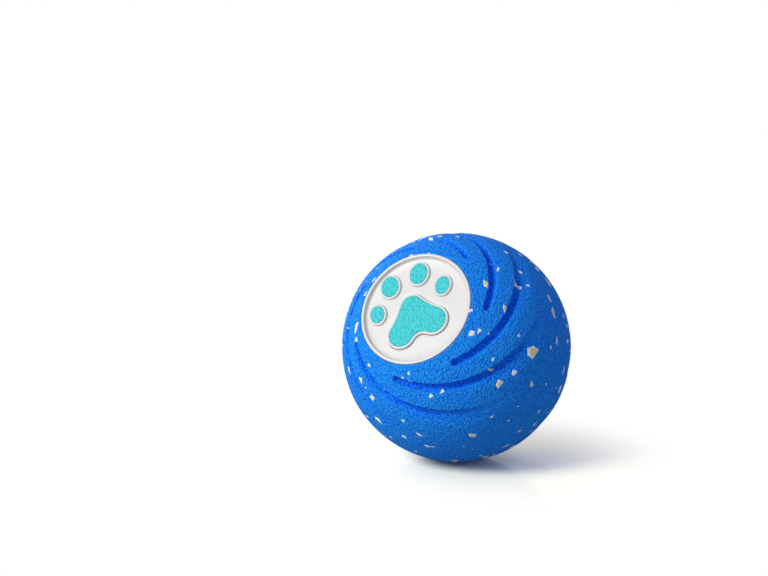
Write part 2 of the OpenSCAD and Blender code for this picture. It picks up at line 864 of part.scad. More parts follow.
module gear_cover() {
    color("#3a3d42") posed() difference() {
        union() {
            rod(drive_r - push_gap, cover_low, cover_top);
            around(drive_screw_r, DRIVE_ANGLES)
                rod(drive_post_r, cover_low, plate_low);
        }
        rod(neck_d / 2 + port_gap, cover_low - CUT, cover_top + CUT);
        at_idler()
            rod(idler_pin_d / 2 + seat_gap, cover_low - CUT, cover_top + CUT);
        around(drive_screw_r, DRIVE_ANGLES) {
            rod(large_screw_d / 2 + seat_gap, cover_low - CUT, plate_low + CUT);
            rod(counterbore_r, cover_low - CUT, cover_low + counterbore_h);
        }
        ribbon_notch(cover_low - CUT, cover_top + CUT);
    }
}

module drive_screws() {
    color("silver") posed()
        around(drive_screw_r, DRIVE_ANGLES)
            translate([0, 0, cover_low + counterbore_h])
                screw(large_screw_d, large_head_d, large_head_h,
                      plate_z + screw_bite - cover_low - counterbore_h);
}

module centre_axle() {
    color("#9aa0a6") posed()
        rod(axle_r, bulkhead_low, plate_z);
}

module idler_pin() {
    color("#9aa0a6") posed() at_idler()
        rod(idler_pin_d / 2, cover_low, plate_z);
}

module centre_gear() {
    color("ivory") posed() difference() {
        union() {
            gear(wheel_teeth, layer_1, motor_turn);
            gear(pinion_teeth, layer_2, idler_turn);
            rod(pinion_pitch_r - DEDENDUM * gear_m - HUB_INSET, layer_2 + CUT, layer_1 + CUT);
        }
        rod(axle_r + run_gap, layer_2 - CUT, layer_1 + gear_t + CUT);
    }
}

module idler_gear() {
    color("ivory") posed() at_idler() difference() {
        union() {
            gear(wheel_teeth, layer_2, meshing(wheel_teeth, idler_turn));
            gear(pinion_teeth, layer_3, meshing(pinion_teeth, idler_turn));
            rod(idler_hub_r, layer_3, layer_1 + gear_t);
        }
        rod(idler_pin_d / 2 + run_gap, layer_3 - CUT, plate_low + CUT);
    }
}

module output_gear() {
    color("ivory") posed() difference() {
        union() {
            gear(wheel_teeth, layer_3, idler_turn);
            rod(neck_d / 2, weight_top, layer_3 + CUT);
            slab(weight_top - key_h, weight_top + CUT)
                square(key_w, center = true);
        }
        rod(axle_r + run_gap, weight_low - CUT, layer_3 + gear_t + CUT);
    }
}

module swing_weight() {
    color("#7d838a") posed() difference() {
        slab(weight_low, weight_top) {
            circle(d = weight_hub_d);
            intersection() {
                circle(r = weight_r);
                translate([-weight_r, -2 * weight_r])
                    square(2 * weight_r);
            }
        }
        slab(weight_top - key_h - key_gap, weight_top + CUT)
            square(key_w + 2 * key_gap, center = true);
        rod(axle_r + run_gap, weight_low - CUT, weight_top + CUT);
    }
}

USB_SCREWS = [[7.2, 3.6], [-7.2, -3.6]];

module usb_screw_places() {
    for (p = USB_SCREWS)
        translate(p)
            children();
}

module rear_bulkhead() {
    color("#3a3d42") posed() difference() {
        rod(mouth_r - push_gap, bulkhead_low, bulkhead_top);
        rod(bush_d / 2 + seat_gap, bulkhead_low - CUT, bulkhead_top + CUT);
        around(cap_screw_r, CAP_ANGLES)
            rod(boss_r + ribbon_gap, bulkhead_low - CUT, bulkhead_top + CUT);
        usb_screw_places()
            rod(small_screw_d / 2 + seat_gap, bulkhead_low - CUT, bulkhead_top + CUT);
        ribbon_notch(bulkhead_low - CUT, bulkhead_top + CUT);
    }
}

module axle_bush() {
    color("goldenrod") posed() difference() {
        union() {
            rod(bush_d / 2, bulkhead_low, bulkhead_top + bush_flange_t);
            rod(bush_flange_d / 2, bulkhead_top, bulkhead_top + bush_flange_t);
        }
        rod(axle_r + seat_gap, bulkhead_low - CUT, bulkhead_top + bush_flange_t + CUT);
    }
}

module usb_board() {
    color("seagreen") posed() difference() {
        slab(usb_board_low, bulkhead_low)
            square([usb_board_w, usb_board_h], center = true);
        usb_screw_places()
            rod(small_screw_d / 2 + seat_gap, usb_board_low - CUT, bulkhead_low + CUT);
    }
}

socket_in_w = socket_w - 2 * socket_wall;
socket_in_h = socket_h - 2 * socket_wall;
SOCKET_BACK_T = 1;
socket_back = usb_board_low - SOCKET_BACK_T;

module usb_socket() {
    color("#c4c8cc") posed() difference() {
        slab(mouth_z, usb_board_low)
            stadium(socket_w, socket_h);
        slab(mouth_z - CUT, socket_back)
            stadium(socket_in_w, socket_in_h);
    }
}

tongue_w = 6.7;
tongue_t = 0.7;

module usb_tongue() {
    color("#222222") posed()
        slab(mouth_z + tongue_back, socket_back)
            square([tongue_w, tongue_t], center = true);
}

module usb_screws() {
    color("silver") posed()
        usb_screw_places()
            translate([0, 0, usb_board_low])
                screw(small_screw_d, small_head_d, small_head_h, usb_board_t + bulkhead_t - TIP_GAP);
}

// A cylinder along the hinge axis, between two places across the cap
module hinge_rod(r, from, to) {
    translate([from, hinge_y, hinge_z])
        rotate([0, 90, 0])
            cylinder(r = r, h = to - from);
}

cap_knuckle_x = door_knuckle_w / 2 + door_gap;
BLOCK_INSET = 0.2;
notch_r = 3;
notch_depth = 0.8;
gasket_w = 0.6;
gasket_r = (mouth_r + core_r) / 2;
RIBBON_ROOM = 2.5;
ring_r = mouth_r - push_gap;

module cap_knuckles() {
    for (s = [-1, 1])
        hinge_rod(knuckle_r, min(s * cap_knuckle_x, s * (cap_knuckle_x + cap_knuckle_w)),
                  max(s * cap_knuckle_x, s * (cap_knuckle_x + cap_knuckle_w)));
}

// Ring that reaches into the tube up to the bulkhead, open around the screw bosses
module rear_spigot() {
    difference() {
        ring(ring_r - spigot_wall, ring_r, -floor_z, bulkhead_low);
        around(cap_screw_r, CAP_ANGLES)
            rod(boss_r + ribbon_gap, -tube_end - CUT, bulkhead_low + CUT);
    }
}

module rear_cap() {
    color("white") posed() difference() {
        union() {
            difference() {
                union() {
                    rod(core_r, -floor_z, -tube_end);
                    ring(rim_r, core_r, -face_z, -tube_end);
                    rear_spigot();
                }
                slab(-face_z, pocket_z)
                    translate([-door_w / 2 - door_gap, -door_reach - door_gap])
                        square([door_w + 2 * door_gap, hinge_y + door_reach + door_gap]);
                hinge_rod(knuckle_r + door_gap, -cap_knuckle_x, cap_knuckle_x);
                translate([0, -door_reach, 0])
                    rod(notch_r, -face_z, -floor_z + notch_depth);
            }
            cap_knuckles();
            slab(-floor_z, -tube_end)
                for (s = [-1, 1])
                    translate([s * (cap_knuckle_x + cap_knuckle_w / 2), hinge_y])
                        square([cap_knuckle_w, knuckle_d - 2 * BLOCK_INSET], center = true);
        }
        hinge_rod(hinge_pin_d / 2 + seat_gap, -core_r / 2, core_r / 2);
        slab(-face_z, -tube_end + CUT)
            stadium(socket_w + 2 * port_gap, socket_h + 2 * port_gap);
        around(cap_screw_r, CAP_ANGLES) {
            rod(large_screw_d / 2 + seat_gap, -face_z, -tube_end + CUT);
            rod(counterbore_r, -face_z - CUT, -floor_z + counterbore_h);
        }
        ring(gasket_r - gasket_w / 2, gasket_r + gasket_w / 2, -tube_end - gasket_t, -tube_end + CUT);
        ribbon_notch(usb_board_low - RIBBON_ROOM, bulkhead_low + CUT);
    }
}

module rear_gasket() {
    color("#55585c") posed()
        ring(gasket_r - gasket_w / 2 + inlay_gap, gasket_r + gasket_w / 2 - inlay_gap,
             -tube_end - gasket_t, -tube_end);
}

module cap_screws() {
    color("silver") posed()
        around(cap_screw_r, CAP_ANGLES)
            translate([0, 0, -floor_z + counterbore_h])
                screw(large_screw_d, large_head_d, large_head_h,
                      cap_floor_t - counterbore_h + screw_bite - CUT);
}

door_low = -floor_z;
door_high = door_low + door_t;

module port_door() {
    color("white") posed() difference() {
        union() {
            slab(door_low, door_high)
                translate([-door_w / 2, -door_reach])
                    square([door_w, door_reach + hinge_y - knuckle_r - door_gap]);
            slab(door_low, door_high)
                translate([-door_knuckle_w / 2, 0])
                    square([door_knuckle_w, hinge_y]);
            hinge_rod(knuckle_r, -door_knuckle_w / 2, door_knuckle_w / 2);
        }
        hinge_rod(hinge_pin_d / 2 + run_gap, -door_w, door_w);
    }
}

module door_pin() {
    color("#9aa0a6") posed()
        hinge_rod(hinge_pin_d / 2, -hinge_pin_l / 2, hinge_pin_l / 2);
}

plug_gap = 0.35;

module port_plug() {
    color("#55585c") posed()
        slab(door_high, door_high + plug_l)
            stadium(socket_in_w - 2 * plug_gap, socket_in_h - 2 * plug_gap);
}

// Side of the ribbon at each point of its route, square to the mean direction there
function unit(v) = v / norm(v);
function side_point(path, i, out) =
    let (before = unit(path[max(i, 1)] - path[max(i, 1) - 1]),
         after = unit(path[min(i + 1, len(path) - 1)] - path[min(i, len(path) - 2)]),
         mean = unit(before + after), stretch = 1 / (mean * after))
    path[i] + out * stretch * [-mean[1], mean[0]];

module charge_ribbon() {
    last = len(RIBBON) - 1;
    color("#e8e2d0") posed()
        translate([0, ribbon_w / 2, 0])
            rotate([90, 0, 0])
                linear_extrude(height = ribbon_w)
                    polygon(concat(
                        [for (i = [0 : last]) side_point(RIBBON, i, ribbon_half)],
                        [for (i = [last : -1 : 0]) side_point(RIBBON, i, -ribbon_half)]));
}

// A round lead along a list of points, square to its route at each point
LEAD_SIDES = 8;
function lead_dir(p, i) = unit(p[min(i + 1, len(p) - 1)] - p[max(i - 1, 0)]);
function lead_ring(p, i) =
    let (d = lead_dir(p, i), u = unit(cross(d, [1, 0, 0])), v = cross(d, u))
    [for (k = [0 : LEAD_SIDES - 1])
        p[i] + lead_d / 2 * (cos(360 * k / LEAD_SIDES) * u + sin(360 * k / LEAD_SIDES) * v)];

module lead(p) {
    n = LEAD_SIDES;
    last = len(p) - 1;
    points = [for (i = [0 : last], q = lead_ring(p, i)) q];
    walls = [for (i = [0 : last - 1], k = [0 : n - 1])
        let (a = i * n + k, b = i * n + (k + 1) % n)
        each [[a, b, a + n], [b, b + n, a + n]]];
    start = [for (k = [1 : n - 2]) [0, k + 1, k]];
    end = [for (k = [1 : n - 2]) [last * n, last * n + k, last * n + k + 1]];
    polyhedron(points, concat(walls, start, end));
}

// Leads rise to the control board: one from a motor terminal, one from the battery
motor_y = -centre_dist;
LEAD_LIFT = 0.1;
lead_z = shoulder_z + lead_d / 2 + LEAD_LIFT;
battery_top = battery_low + battery_l;
battery_mid_y = battery_y + battery_t / 2;
function motor_lead(x) = [
    [x, motor_y + terminal_size[1] / 2, lead_z],
    [x, motor_y + 1.4, lead_z],
    [x, motor_y + 2.2, lead_z + 0.3],
    [x, motor_y + 2.6, lead_z + 1],
    [x, motor_y + 2.7, board_low - 0.5],
    [x, motor_y + 2.7, board_low]];
function battery_lead(x) = [
    [x, battery_mid_y, battery_top],
    [x, battery_mid_y, battery_top + 0.8],
    [x, battery_mid_y - 0.5, battery_top + 1.6],
    [x, battery_mid_y - 1, board_low - 0.8],
    [x, battery_mid_y - 1, board_low]];
battery_tab_x = 3;

module lead_pair(side) {
    posed() {
        lead(motor_lead(side * terminal_x));
        lead(battery_lead(side * battery_tab_x));
    }
}

module lead_red() {
    color("firebrick") lead_pair(1);
}

module lead_black() {
    color("#1c1c1c") lead_pair(-1);
}

foam_shell();
core_tube();
front_cap();
toe_inlays();
paw_button();
paw_inlay();
main_board();
board_chips();
status_leds();
board_screws();
tact_switch();
switch_plunger();
battery_cell();
battery_cradle();
motor_can();
motor_endbell();
motor_terminals();
motor_shaft();
motor_pinion();
motor_screws();
gear_plate();
gear_cover();
drive_screws();
centre_axle();
idler_pin();
centre_gear();
idler_gear();
output_gear();
swing_weight();
rear_bulkhead();
axle_bush();
usb_board();
usb_socket();
usb_tongue();
usb_screws();
rear_cap();
rear_gasket();
cap_screws();
port_door();
door_pin();
port_plug();
charge_ribbon();
lead_red();
lead_black();
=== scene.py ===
# %% [markdown]
# # A rolling dog ball
# The construction is already fixed: bodies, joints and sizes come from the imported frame.
# This lesson dresses it: a grained foam ball with swirl grooves, a white cap with a paw button in
# front, and a charging cap behind. The frame is loaded first, so that every piece can take its
# place and size from it, and nothing needs fitting afterwards.

# %% Load the frame
import json
import math
import random

import bmesh
import bpy
import numpy as np
from mathutils import Matrix, Vector, noise


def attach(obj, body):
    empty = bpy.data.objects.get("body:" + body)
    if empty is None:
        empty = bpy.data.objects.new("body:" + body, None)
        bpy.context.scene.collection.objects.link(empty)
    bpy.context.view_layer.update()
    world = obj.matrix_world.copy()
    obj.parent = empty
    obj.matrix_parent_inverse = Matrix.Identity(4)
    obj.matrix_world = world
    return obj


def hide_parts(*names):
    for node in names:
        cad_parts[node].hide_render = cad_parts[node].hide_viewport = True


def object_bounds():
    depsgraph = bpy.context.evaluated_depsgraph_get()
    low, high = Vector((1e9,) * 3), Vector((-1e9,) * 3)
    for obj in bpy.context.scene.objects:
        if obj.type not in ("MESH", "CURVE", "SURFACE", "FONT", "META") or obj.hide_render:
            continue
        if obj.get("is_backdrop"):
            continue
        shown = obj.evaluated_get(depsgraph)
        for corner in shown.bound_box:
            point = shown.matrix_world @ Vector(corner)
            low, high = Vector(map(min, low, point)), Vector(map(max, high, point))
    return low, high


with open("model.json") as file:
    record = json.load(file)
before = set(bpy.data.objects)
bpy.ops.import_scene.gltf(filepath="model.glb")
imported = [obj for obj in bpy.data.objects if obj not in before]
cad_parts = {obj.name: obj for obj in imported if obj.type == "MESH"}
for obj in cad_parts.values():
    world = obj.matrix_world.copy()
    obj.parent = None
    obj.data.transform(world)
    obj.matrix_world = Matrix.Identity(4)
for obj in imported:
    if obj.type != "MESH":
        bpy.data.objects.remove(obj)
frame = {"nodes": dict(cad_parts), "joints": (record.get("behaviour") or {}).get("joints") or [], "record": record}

cad_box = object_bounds()

# %% [markdown]
# ## The core's own axes
# The ball's core lies along a slanted axis, with the paw cap at one end. Round things are easiest
# to draw upright, so each piece is drawn with that axis as its Z and then turned into place by one
# matrix. The axis is the one that the swing weight turns about, which the frame gives.

# %% Axes and main sizes, read from the frame
MM = 0.001
spin = next(j for j in frame["joints"] if j["name"] == "weight_spin")
POLE = Vector(spin["axis"]).normalized()
CENTRE = Vector(spin["pos_m"])
ACROSS = Vector((1, 0, 0))
CORE = Matrix((ACROSS, POLE.cross(ACROSS), POLE)).transposed().to_4x4()
CORE.translation = CENTRE
TO_CORE = CORE.inverted()


def core_points(node):
    """A CAD node's corners, seen along the core's own axes."""
    return np.array([TO_CORE @ v.co for v in frame["nodes"][node].data.vertices])


def reach(points):
    """Distances from the core's axis."""
    return np.hypot(points[:, 0], points[:, 1])


foam_points = core_points("foam_shell")
cap_points = core_points("front_cap")
BALL_R = CENTRE.z
BORE_R = reach(foam_points).min()
CORE_R = reach(cap_points).max()
FACE_Z = cap_points[:, 2].max()
for label, size in (("ball radius", BALL_R), ("cap radius", CORE_R), ("rim height", FACE_Z)):
    print(label, round(size / MM, 2), "mm")

# %% [markdown]
# ## The camera
# The picture was taken from the ball's right front, a little above it. Instead of guessing a
# distance, the script works it out: a ball of known radius that covers a known number of pixels
# through a known lens can only be at one distance. The camera then aims past the ball, so that the
# ball lands off the middle of the picture, as in the photograph. No lens shift is needed for that.

# %% Helpers for new objects


def placed(name, data):
    """A new object in the scene."""
    made = bpy.data.objects.new(name, data)
    bpy.context.scene.collection.objects.link(made)
    return made


def aimed(name, data, place, way):
    """A camera or lamp at a place, looking along a direction."""
    made = placed(name, data)
    made.location = place
    made.rotation_mode = "QUATERNION"
    made.rotation_quaternion = way.to_track_quat("-Z", "Y")
    return made


print("object helpers ready")

# %% Camera from the ball's place in the picture
PICTURE_W, PICTURE_H = 768, 576
LENS_MM, SENSOR_MM = 85, 36
AZIMUTH, ELEVATION = math.radians(28.4), math.radians(12.45)
BALL_PX = (456.5, 346.5)
BALL_RADIUS_PX = 114.5
focal_px = LENS_MM / SENSOR_MM * PICTURE_W
distance = BALL_R / math.sin(math.atan(BALL_RADIUS_PX / focal_px))
level = math.cos(ELEVATION)
BACK = Vector((math.sin(AZIMUTH) * level, -math.cos(AZIMUTH) * level, math.sin(ELEVATION)))
RIGHT = Vector((math.cos(AZIMUTH), math.sin(AZIMUTH), 0))
UP = BACK.cross(RIGHT)
metres_per_px = distance / focal_px
eye = CENTRE + BACK * distance
aim = CENTRE - RIGHT * (BALL_PX[0] - PICTURE_W / 2) * metres_per_px
aim = aim + UP * (BALL_PX[1] - PICTURE_H / 2) * metres_per_px
camera = aimed("camera", bpy.data.cameras.new("camera"), eye, aim - eye)
camera.data.lens = LENS_MM
camera.data.sensor_width = SENSOR_MM
bpy.context.scene.camera = camera
print("camera distance", round(distance, 3), "m")

# %% [markdown]
# ## Helpers for meshes
# Almost every piece here is a stack of rings: an outline that is repeated at several heights and
# widths, which is how a rounded edge or a crowned top is made. Numbers for all corners are laid out
# with numpy as a grid of rows and columns, and one function turns the grid into a closed mesh. A
# rounded edge is a quarter circle between an upright wall and a level face, and it comes up so
# often that it has two functions, one for each way along it.

# %% Rings to a closed mesh


def grid_faces(rows, columns, loop):
    """Quads between neighbouring rows; with loop, the last row joins the first."""
    faces = []
    for row in range(rows if loop else rows - 1):
        low, high = row * columns, (row + 1) % rows * columns
        for c in range(columns):
            after = (c + 1) % columns
            faces.append((low + c, low + after, high + after, high + c))
    return faces


def mesh_of(name, shells, crease=180):
    """One object from closed shells of (points, faces), drawn on the core's axes and turned into place.
    Edges that bend by more than the crease, in degrees, are shaded sharp."""
    points, faces = [], []
    for shell_points, shell_faces in shells:
        start = len(points)
        points += [tuple(p) for p in shell_points]
        faces += [tuple(start + i for i in face) for face in shell_faces]
    mesh = bpy.data.meshes.new(name)
    mesh.from_pydata(points, [], faces)
    mesh.transform(CORE)
    shell = bmesh.new()
    shell.from_mesh(mesh)
    bmesh.ops.recalc_face_normals(shell, faces=shell.faces)
    shell.to_mesh(mesh)
    shell.free()
    mesh.shade_smooth()
    mesh.set_sharp_from_angle(angle=math.radians(crease))
    return placed(name, mesh)


def ring_shell(rings):
    """A closed shell from rings of equal count, with its first and last ring filled to their middles."""
    rings = np.asarray(rings, float)
    rows, columns, _ = rings.shape
    points = np.vstack([rings.reshape(-1, 3), rings[0].mean(0), rings[-1].mean(0)])
    faces = grid_faces(rows, columns, False)
    low, high, last = rows * columns, rows * columns + 1, (rows - 1) * columns
    faces += [(low, (c + 1) % columns, c) for c in range(columns)]
    faces += [(high, last + c, last + (c + 1) % columns) for c in range(columns)]
    return points, faces


def loop_shell(rings):
    """A closed shell from rings of equal count, whose last ring joins the first."""
    rings = np.asarray(rings, float)
    return rings.reshape(-1, 3), grid_faces(*rings.shape[:2], True)


def at_height(outline, z):
    return np.column_stack([outline, np.full(len(outline), z)])


def circle(radius, middle, count):
    turn = np.linspace(0, 2 * math.pi, count, endpoint=False)
    return np.column_stack([middle[0] + radius * np.cos(turn), middle[1] + radius * np.sin(turn)])


def smooth_step(low, high, value):
    share = np.clip((value - low) / (high - low), 0, 1)
    return share * share * (3 - 2 * share)


ROUND_STEPS = 4
QUARTER = np.linspace(0, math.pi / 2, ROUND_STEPS + 1)


def wall_to_level(out, z, across, up):
    """A quarter circle from a wall, at (out, z + up), round to a level face, at (out + across, z)."""
    return [(out + across * (1 - math.cos(a)), z + up * (1 - math.sin(a))) for a in QUARTER]


def level_to_wall(out, z, across, up, angles=QUARTER):
    """The same corner the other way, from the level face, at (out + across, z), to the wall."""
    return [(out + across * (1 - math.sin(a)), z + up * (1 - math.cos(a))) for a in angles]


print("mesh helpers ready, rounded edges in", ROUND_STEPS, "steps")

# %% [markdown]
# ## The foam ball: grooves
# Seven grooves swirl out from each cap. Each starts as a narrow slot with a round end and two steep
# walls. Farther on, the wall next to the cap stays crisp, while the far wall gets lower and runs out
# into a gentle dish, and the whole groove fades towards the ball's waist. Carving that by hand is
# slow, and a boolean leaves hard edges, so the depth is a formula of two angles: the polar angle from
# the cap and the turn around the core, both in degrees. A narrow channel and a wide dish share the
# depth, and the dish's part grows along the groove, in two stretches.

# %% Groove depth as a formula
GROOVES = 7
GROOVE_DEPTH = 1.7 * MM
TIP_POLAR = 36.2
SWIRL_RISE, SWIRL_TURN, SWIRL_POWER = 22.0, 88.0, 1.35
CHANNEL_TIP, CHANNEL_MORE, CHANNEL_TURN = 3.4, 1.6, 12.0
DISH_WIDE, DISH_TURN, DISH_POWER, DISH_TIP = 11.0, 79.0, 0.45, 5.0
DISH_STRETCHES = ((0.2, 8, 40), (0.5, 45, 85))
INNER_WALL, OUTER_WALL, DISH_START = 0.36, 0.3, 0.3
ROUND_END, END_WALL = 3.2, 1.6
BEFORE_TIP = 20
FADE_START, FADE_END = 60.0, 118.0
FRONT_PHASE, REAR_PHASE = 7.3, 3.0


def scooped(share):
    """Rises steeply from 0 at an edge and levels out at 1."""
    return 1 - (1 - np.clip(share, 0, 1)) ** 2


def groove_depth(polar, turn, phase):
    """Depth of the swirl grooves around one cap, from angles in degrees."""
    deepest = np.zeros(np.broadcast(polar, turn).shape)
    for k in range(GROOVES):
        along = (turn - phase - 360 * k / GROOVES + BEFORE_TIP) % 360 - BEFORE_TIP
        ahead = np.maximum(along, 0)
        inner = TIP_POLAR + SWIRL_RISE * (ahead / SWIRL_TURN) ** SWIRL_POWER
        channel_wide = CHANNEL_TIP + CHANNEL_MORE * (1 - np.exp(-ahead / CHANNEL_TURN))
        channel = (polar - inner) / channel_wide
        dish = (polar - inner) / (DISH_WIDE * ((ahead + DISH_TIP) / DISH_TURN) ** DISH_POWER)
        dish_part = sum(part * smooth_step(start, full, along) for part, start, full in DISH_STRETCHES)
        far_wall = (1 - dish_part) * scooped((1 - channel) / OUTER_WALL)
        far_wall = far_wall + dish_part * smooth_step(0, 1 - DISH_START, 1 - dish)
        across = np.clip(2 * channel - 1, -1, 1)
        end_wall = scooped((along - ROUND_END * (1 - np.sqrt(1 - across ** 2))) / END_WALL)
        fade = 1 - smooth_step(FADE_START, FADE_END, along)
        deepest = np.maximum(deepest, scooped(channel / INNER_WALL) * far_wall * end_wall * fade)
    return deepest * GROOVE_DEPTH


def foam_radius(polar, turn):
    """Distance of the foam's skin from the ball's middle, with both swirls cut in."""
    front = groove_depth(polar, turn, FRONT_PHASE)
    rear = groove_depth(180 - polar, -turn, REAR_PHASE)
    return BALL_R - front - rear


halfway = TIP_POLAR + SWIRL_RISE / 2
depths = groove_depth(halfway, np.arange(360), FRONT_PHASE)
print("grooves halfway out are up to", round(depths.max() / MM, 2), "mm deep")

# %% [markdown]
# ## The foam ball: mesh
# A grid of polar rows and turn columns is laid over the ball. Rows are close together where the
# grooves run, so that their walls stay crisp, and farther apart at the plain waist. The skin is not
# quite round either: a slow noise of a few hundredths of a millimetre keeps highlights from looking
# machined. The grid goes on over a rounded lip into the bore, so the foam is one closed body. Each
# corner also keeps its share of the groove's depth as an attribute, a number that its finish reads
# later to paint extra shade into the grooves as a deeper colour.

# %% Rows and columns over the ball
COLUMNS = 900
LIP_R = 0.4 * MM
first_polar = math.degrees(math.asin((BORE_R + LIP_R) / BALL_R))
ROW_STRETCHES = ((first_polar, 35.5, 5), (35.5, 48, 58), (48, 64, 44), (64, 80, 26), (80, 90, 10))
stretches = [np.linspace(low, high, count, endpoint=False) for low, high, count in ROW_STRETCHES]
half_rows = np.concatenate(stretches)
polar_rows = np.concatenate([half_rows, [90.0], 180 - half_rows[::-1]])
turn_columns = np.linspace(0, 360, COLUMNS, endpoint=False)


def on_skin(polar, turn, radius):
    """Points at the given angles in degrees and distances from the ball's middle."""
    polar, turn = np.radians(polar), np.radians(turn)
    aside = radius * np.sin(polar)
    places = aside * np.cos(turn), aside * np.sin(turn), radius * np.cos(polar)
    return np.stack(np.broadcast_arrays(*places), -1)


def round_row(radius, z):
    """A plain round row at a distance from the core's axis and a height."""
    return on_skin(np.degrees(np.arctan2(radius, z)), turn_columns, math.hypot(radius, z))


print("skin grid", len(polar_rows), "by", COLUMNS)

# %% Foam ball
RIB_Z, RIB_HALF, RIB_H = 14.0 * MM, 1.6 * MM, 1.4 * MM
WAVE_SCALE, WAVE_DEPTH = 160.0, 0.05 * MM
LIP_ANGLES = (0.5, 1.0, math.pi / 2)
skin_radius = foam_radius(polar_rows[:, None], turn_columns[None, :])
skin = on_skin(polar_rows[:, None], turn_columns[None, :], skin_radius)
# flat_skin is another view of the same numbers, so what shrinks it shrinks skin too
flat_skin = skin.reshape(-1, 3)
waves = np.array([noise.noise(Vector(p) * WAVE_SCALE) for p in flat_skin])
wave_share = 0.5 + 0.5 * waves
flat_skin *= (1 - wave_share * WAVE_DEPTH / BALL_R)[:, None]
skin[0] = round_row(BORE_R + LIP_R, BALL_R * math.cos(math.radians(first_polar)))
skin[-1] = skin[0] * (1, 1, -1)
lip_z = skin[0][0][2]
lip = level_to_wall(BORE_R, lip_z, LIP_R, -LIP_R, LIP_ANGLES)
rib_low, rib_high, rib_r = -(RIB_Z + RIB_HALF), -(RIB_Z - RIB_HALF), BORE_R + RIB_H
low_bore = [(BORE_R, rib_low), (rib_r, rib_low), (rib_r, rib_high), (BORE_R, rib_high)]
low_half = [(r, -z) for r, z in lip] + low_bore
inside = low_half + [(r, -z) for r, z in reversed(low_half)]
rows = np.concatenate([skin, np.array([round_row(r, z) for r, z in inside])])
foam_ball = mesh_of("foam_ball", [loop_shell(rows)])
# The groove share goes to the foam's finish, which uses it to paint shade into the grooves
groove_shade_share = np.zeros(rows.shape[:2])
groove_shade_share[:len(skin)] = (BALL_R - skin_radius) / GROOVE_DEPTH
groove_shade_mark = foam_ball.data.attributes.new("groove", "FLOAT", "POINT")
groove_shade_mark.data.foreach_set("value", groove_shade_share.ravel())
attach(foam_ball, "ball")
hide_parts("foam_shell")
print("foam ball faces", len(foam_ball.data.polygons))

# %% [markdown]
# ## Pale chips in the foam
# The foam is pressed from ground scraps, so sharp little chips of pale foam lie flush in its skin.
# Most are white, and some have a cream heart inside their white edge. They could be painted by a
# texture, but real chips have crisp straight edges and catch the light on their own. Each one is a
# thin closed slab with a few uneven corners that follows the skin, even across a groove, and a heart
# is a smaller slab that stands a hair higher. The chips that the camera sees are listed as (x, y) in
# the picture, length and width in millimetres, and lean in degrees from level. The rest of the ball
# gets random ones, always the same, because the draws start from a fixed seed.

# %% Chips that the camera sees
WHITE_CHIPS = [
    (471.7, 333.3, 2.2, 1.5, 40), (478.8, 331.3, 2.0, 1.6, 60), (488.9, 334.1, 1.0, 0.9, 0),
    (470.3, 310.5, 1.5, 1.2, 20), (455.5, 246.6, 2.2, 1.0, 10), (440.8, 236.1, 2.0, 1.2, 30),
    (428.9, 253.4, 1.4, 0.6, 10), (411.2, 255.1, 1.4, 0.8, 30), (387.0, 259.3, 2.0, 0.8, 45),
    (373.7, 280.1, 2.4, 1.0, 60), (365.2, 294.4, 2.2, 1.0, 65), (368.9, 365.1, 1.6, 1.2, 150),
    (356.6, 325.7, 4.5, 1.6, 72), (356.3, 339.7, 2.4, 1.8, 70), (361.3, 379.8, 3.4, 2.0, 110),
    (365.6, 387.7, 1.1, 0.8, 110), (371.8, 397.5, 2.6, 2.2, 120), (380.8, 389.9, 1.6, 0.8, 145),
    (390.6, 395.0, 0.9, 0.7, 0), (378.7, 420.8, 3.0, 1.7, 145), (348.3, 369.6, 3.0, 1.0, 105),
    (359.6, 389.1, 2.8, 0.8, 120), (409.2, 373.0, 1.8, 1.2, 110), (402.7, 378.1, 1.0, 0.9, 0),
    (408.7, 381.5, 1.8, 0.9, 160), (430.6, 396.3, 1.6, 1.4, 0), (441.6, 392.5, 1.8, 1.1, 35),
    (403.1, 420.8, 1.2, 0.8, 160), (404.4, 437.2, 2.4, 1.2, 155), (419.1, 434.7, 2.4, 1.2, 160),
    (427.2, 446.2, 2.2, 1.4, 0), (433.2, 446.9, 1.6, 0.9, 150), (491.5, 417.0, 1.6, 1.1, 70),
    (508.4, 420.7, 0.9, 0.7, 0), (518.5, 406.3, 0.7, 0.6, 0), (463.6, 446.5, 0.6, 0.5, 0),
    (472.9, 449.4, 0.6, 0.5, 0), (456.8, 457.0, 0.6, 0.5, 0), (516.8, 281.8, 2.2, 1.4, 130),
    (528.7, 285.1, 1.6, 1.2, 170), (521.6, 270.8, 1.8, 0.9, 120), (498.2, 268.6, 2.2, 0.9, 75),
    (492.3, 260.6, 1.0, 0.7, 0), (506.7, 252.5, 2.0, 1.0, 150), (521.0, 255.1, 2.0, 0.8, 155),
    (518.9, 335.8, 1.7, 1.3, 80), (493.2, 358.7, 2.0, 0.9, 70), (514.3, 373.0, 2.2, 1.6, 50),
    (538.8, 411.9, 1.4, 1.0, 40), (534.1, 424.6, 2.4, 1.0, 50), (519.9, 430.8, 1.8, 1.2, 35),
    (549.8, 299.0, 3.0, 1.0, 115), (556.9, 340.9, 3.0, 1.2, 85), (551.1, 347.2, 1.6, 1.0, 80),
    (563.6, 370.5, 3.0, 0.8, 75), (546.1, 384.0, 0.8, 0.7, 0), (556.5, 387.7, 0.8, 0.7, 0),
    (547.7, 281.8, 4.6, 1.0, 120)]
CREAM_CHIPS = [
    (533.2, 352.2, 4.4, 4.4, 30), (486.4, 283.4, 3.5, 2.1, 105), (521.0, 285.6, 1.8, 1.4, 0),
    (491.5, 370.1, 2.6, 1.2, 165), (499.1, 384.5, 2.8, 2.2, 60), (531.5, 384.5, 2.0, 1.5, 130),
    (349.8, 319.8, 5.0, 2.0, 80), (472.4, 435.5, 2.8, 2.2, 160), (506.7, 445.7, 3.0, 0.8, 15),
    (553.5, 312.7, 3.4, 1.8, 80), (505.0, 308.8, 3.2, 1.2, 80)]
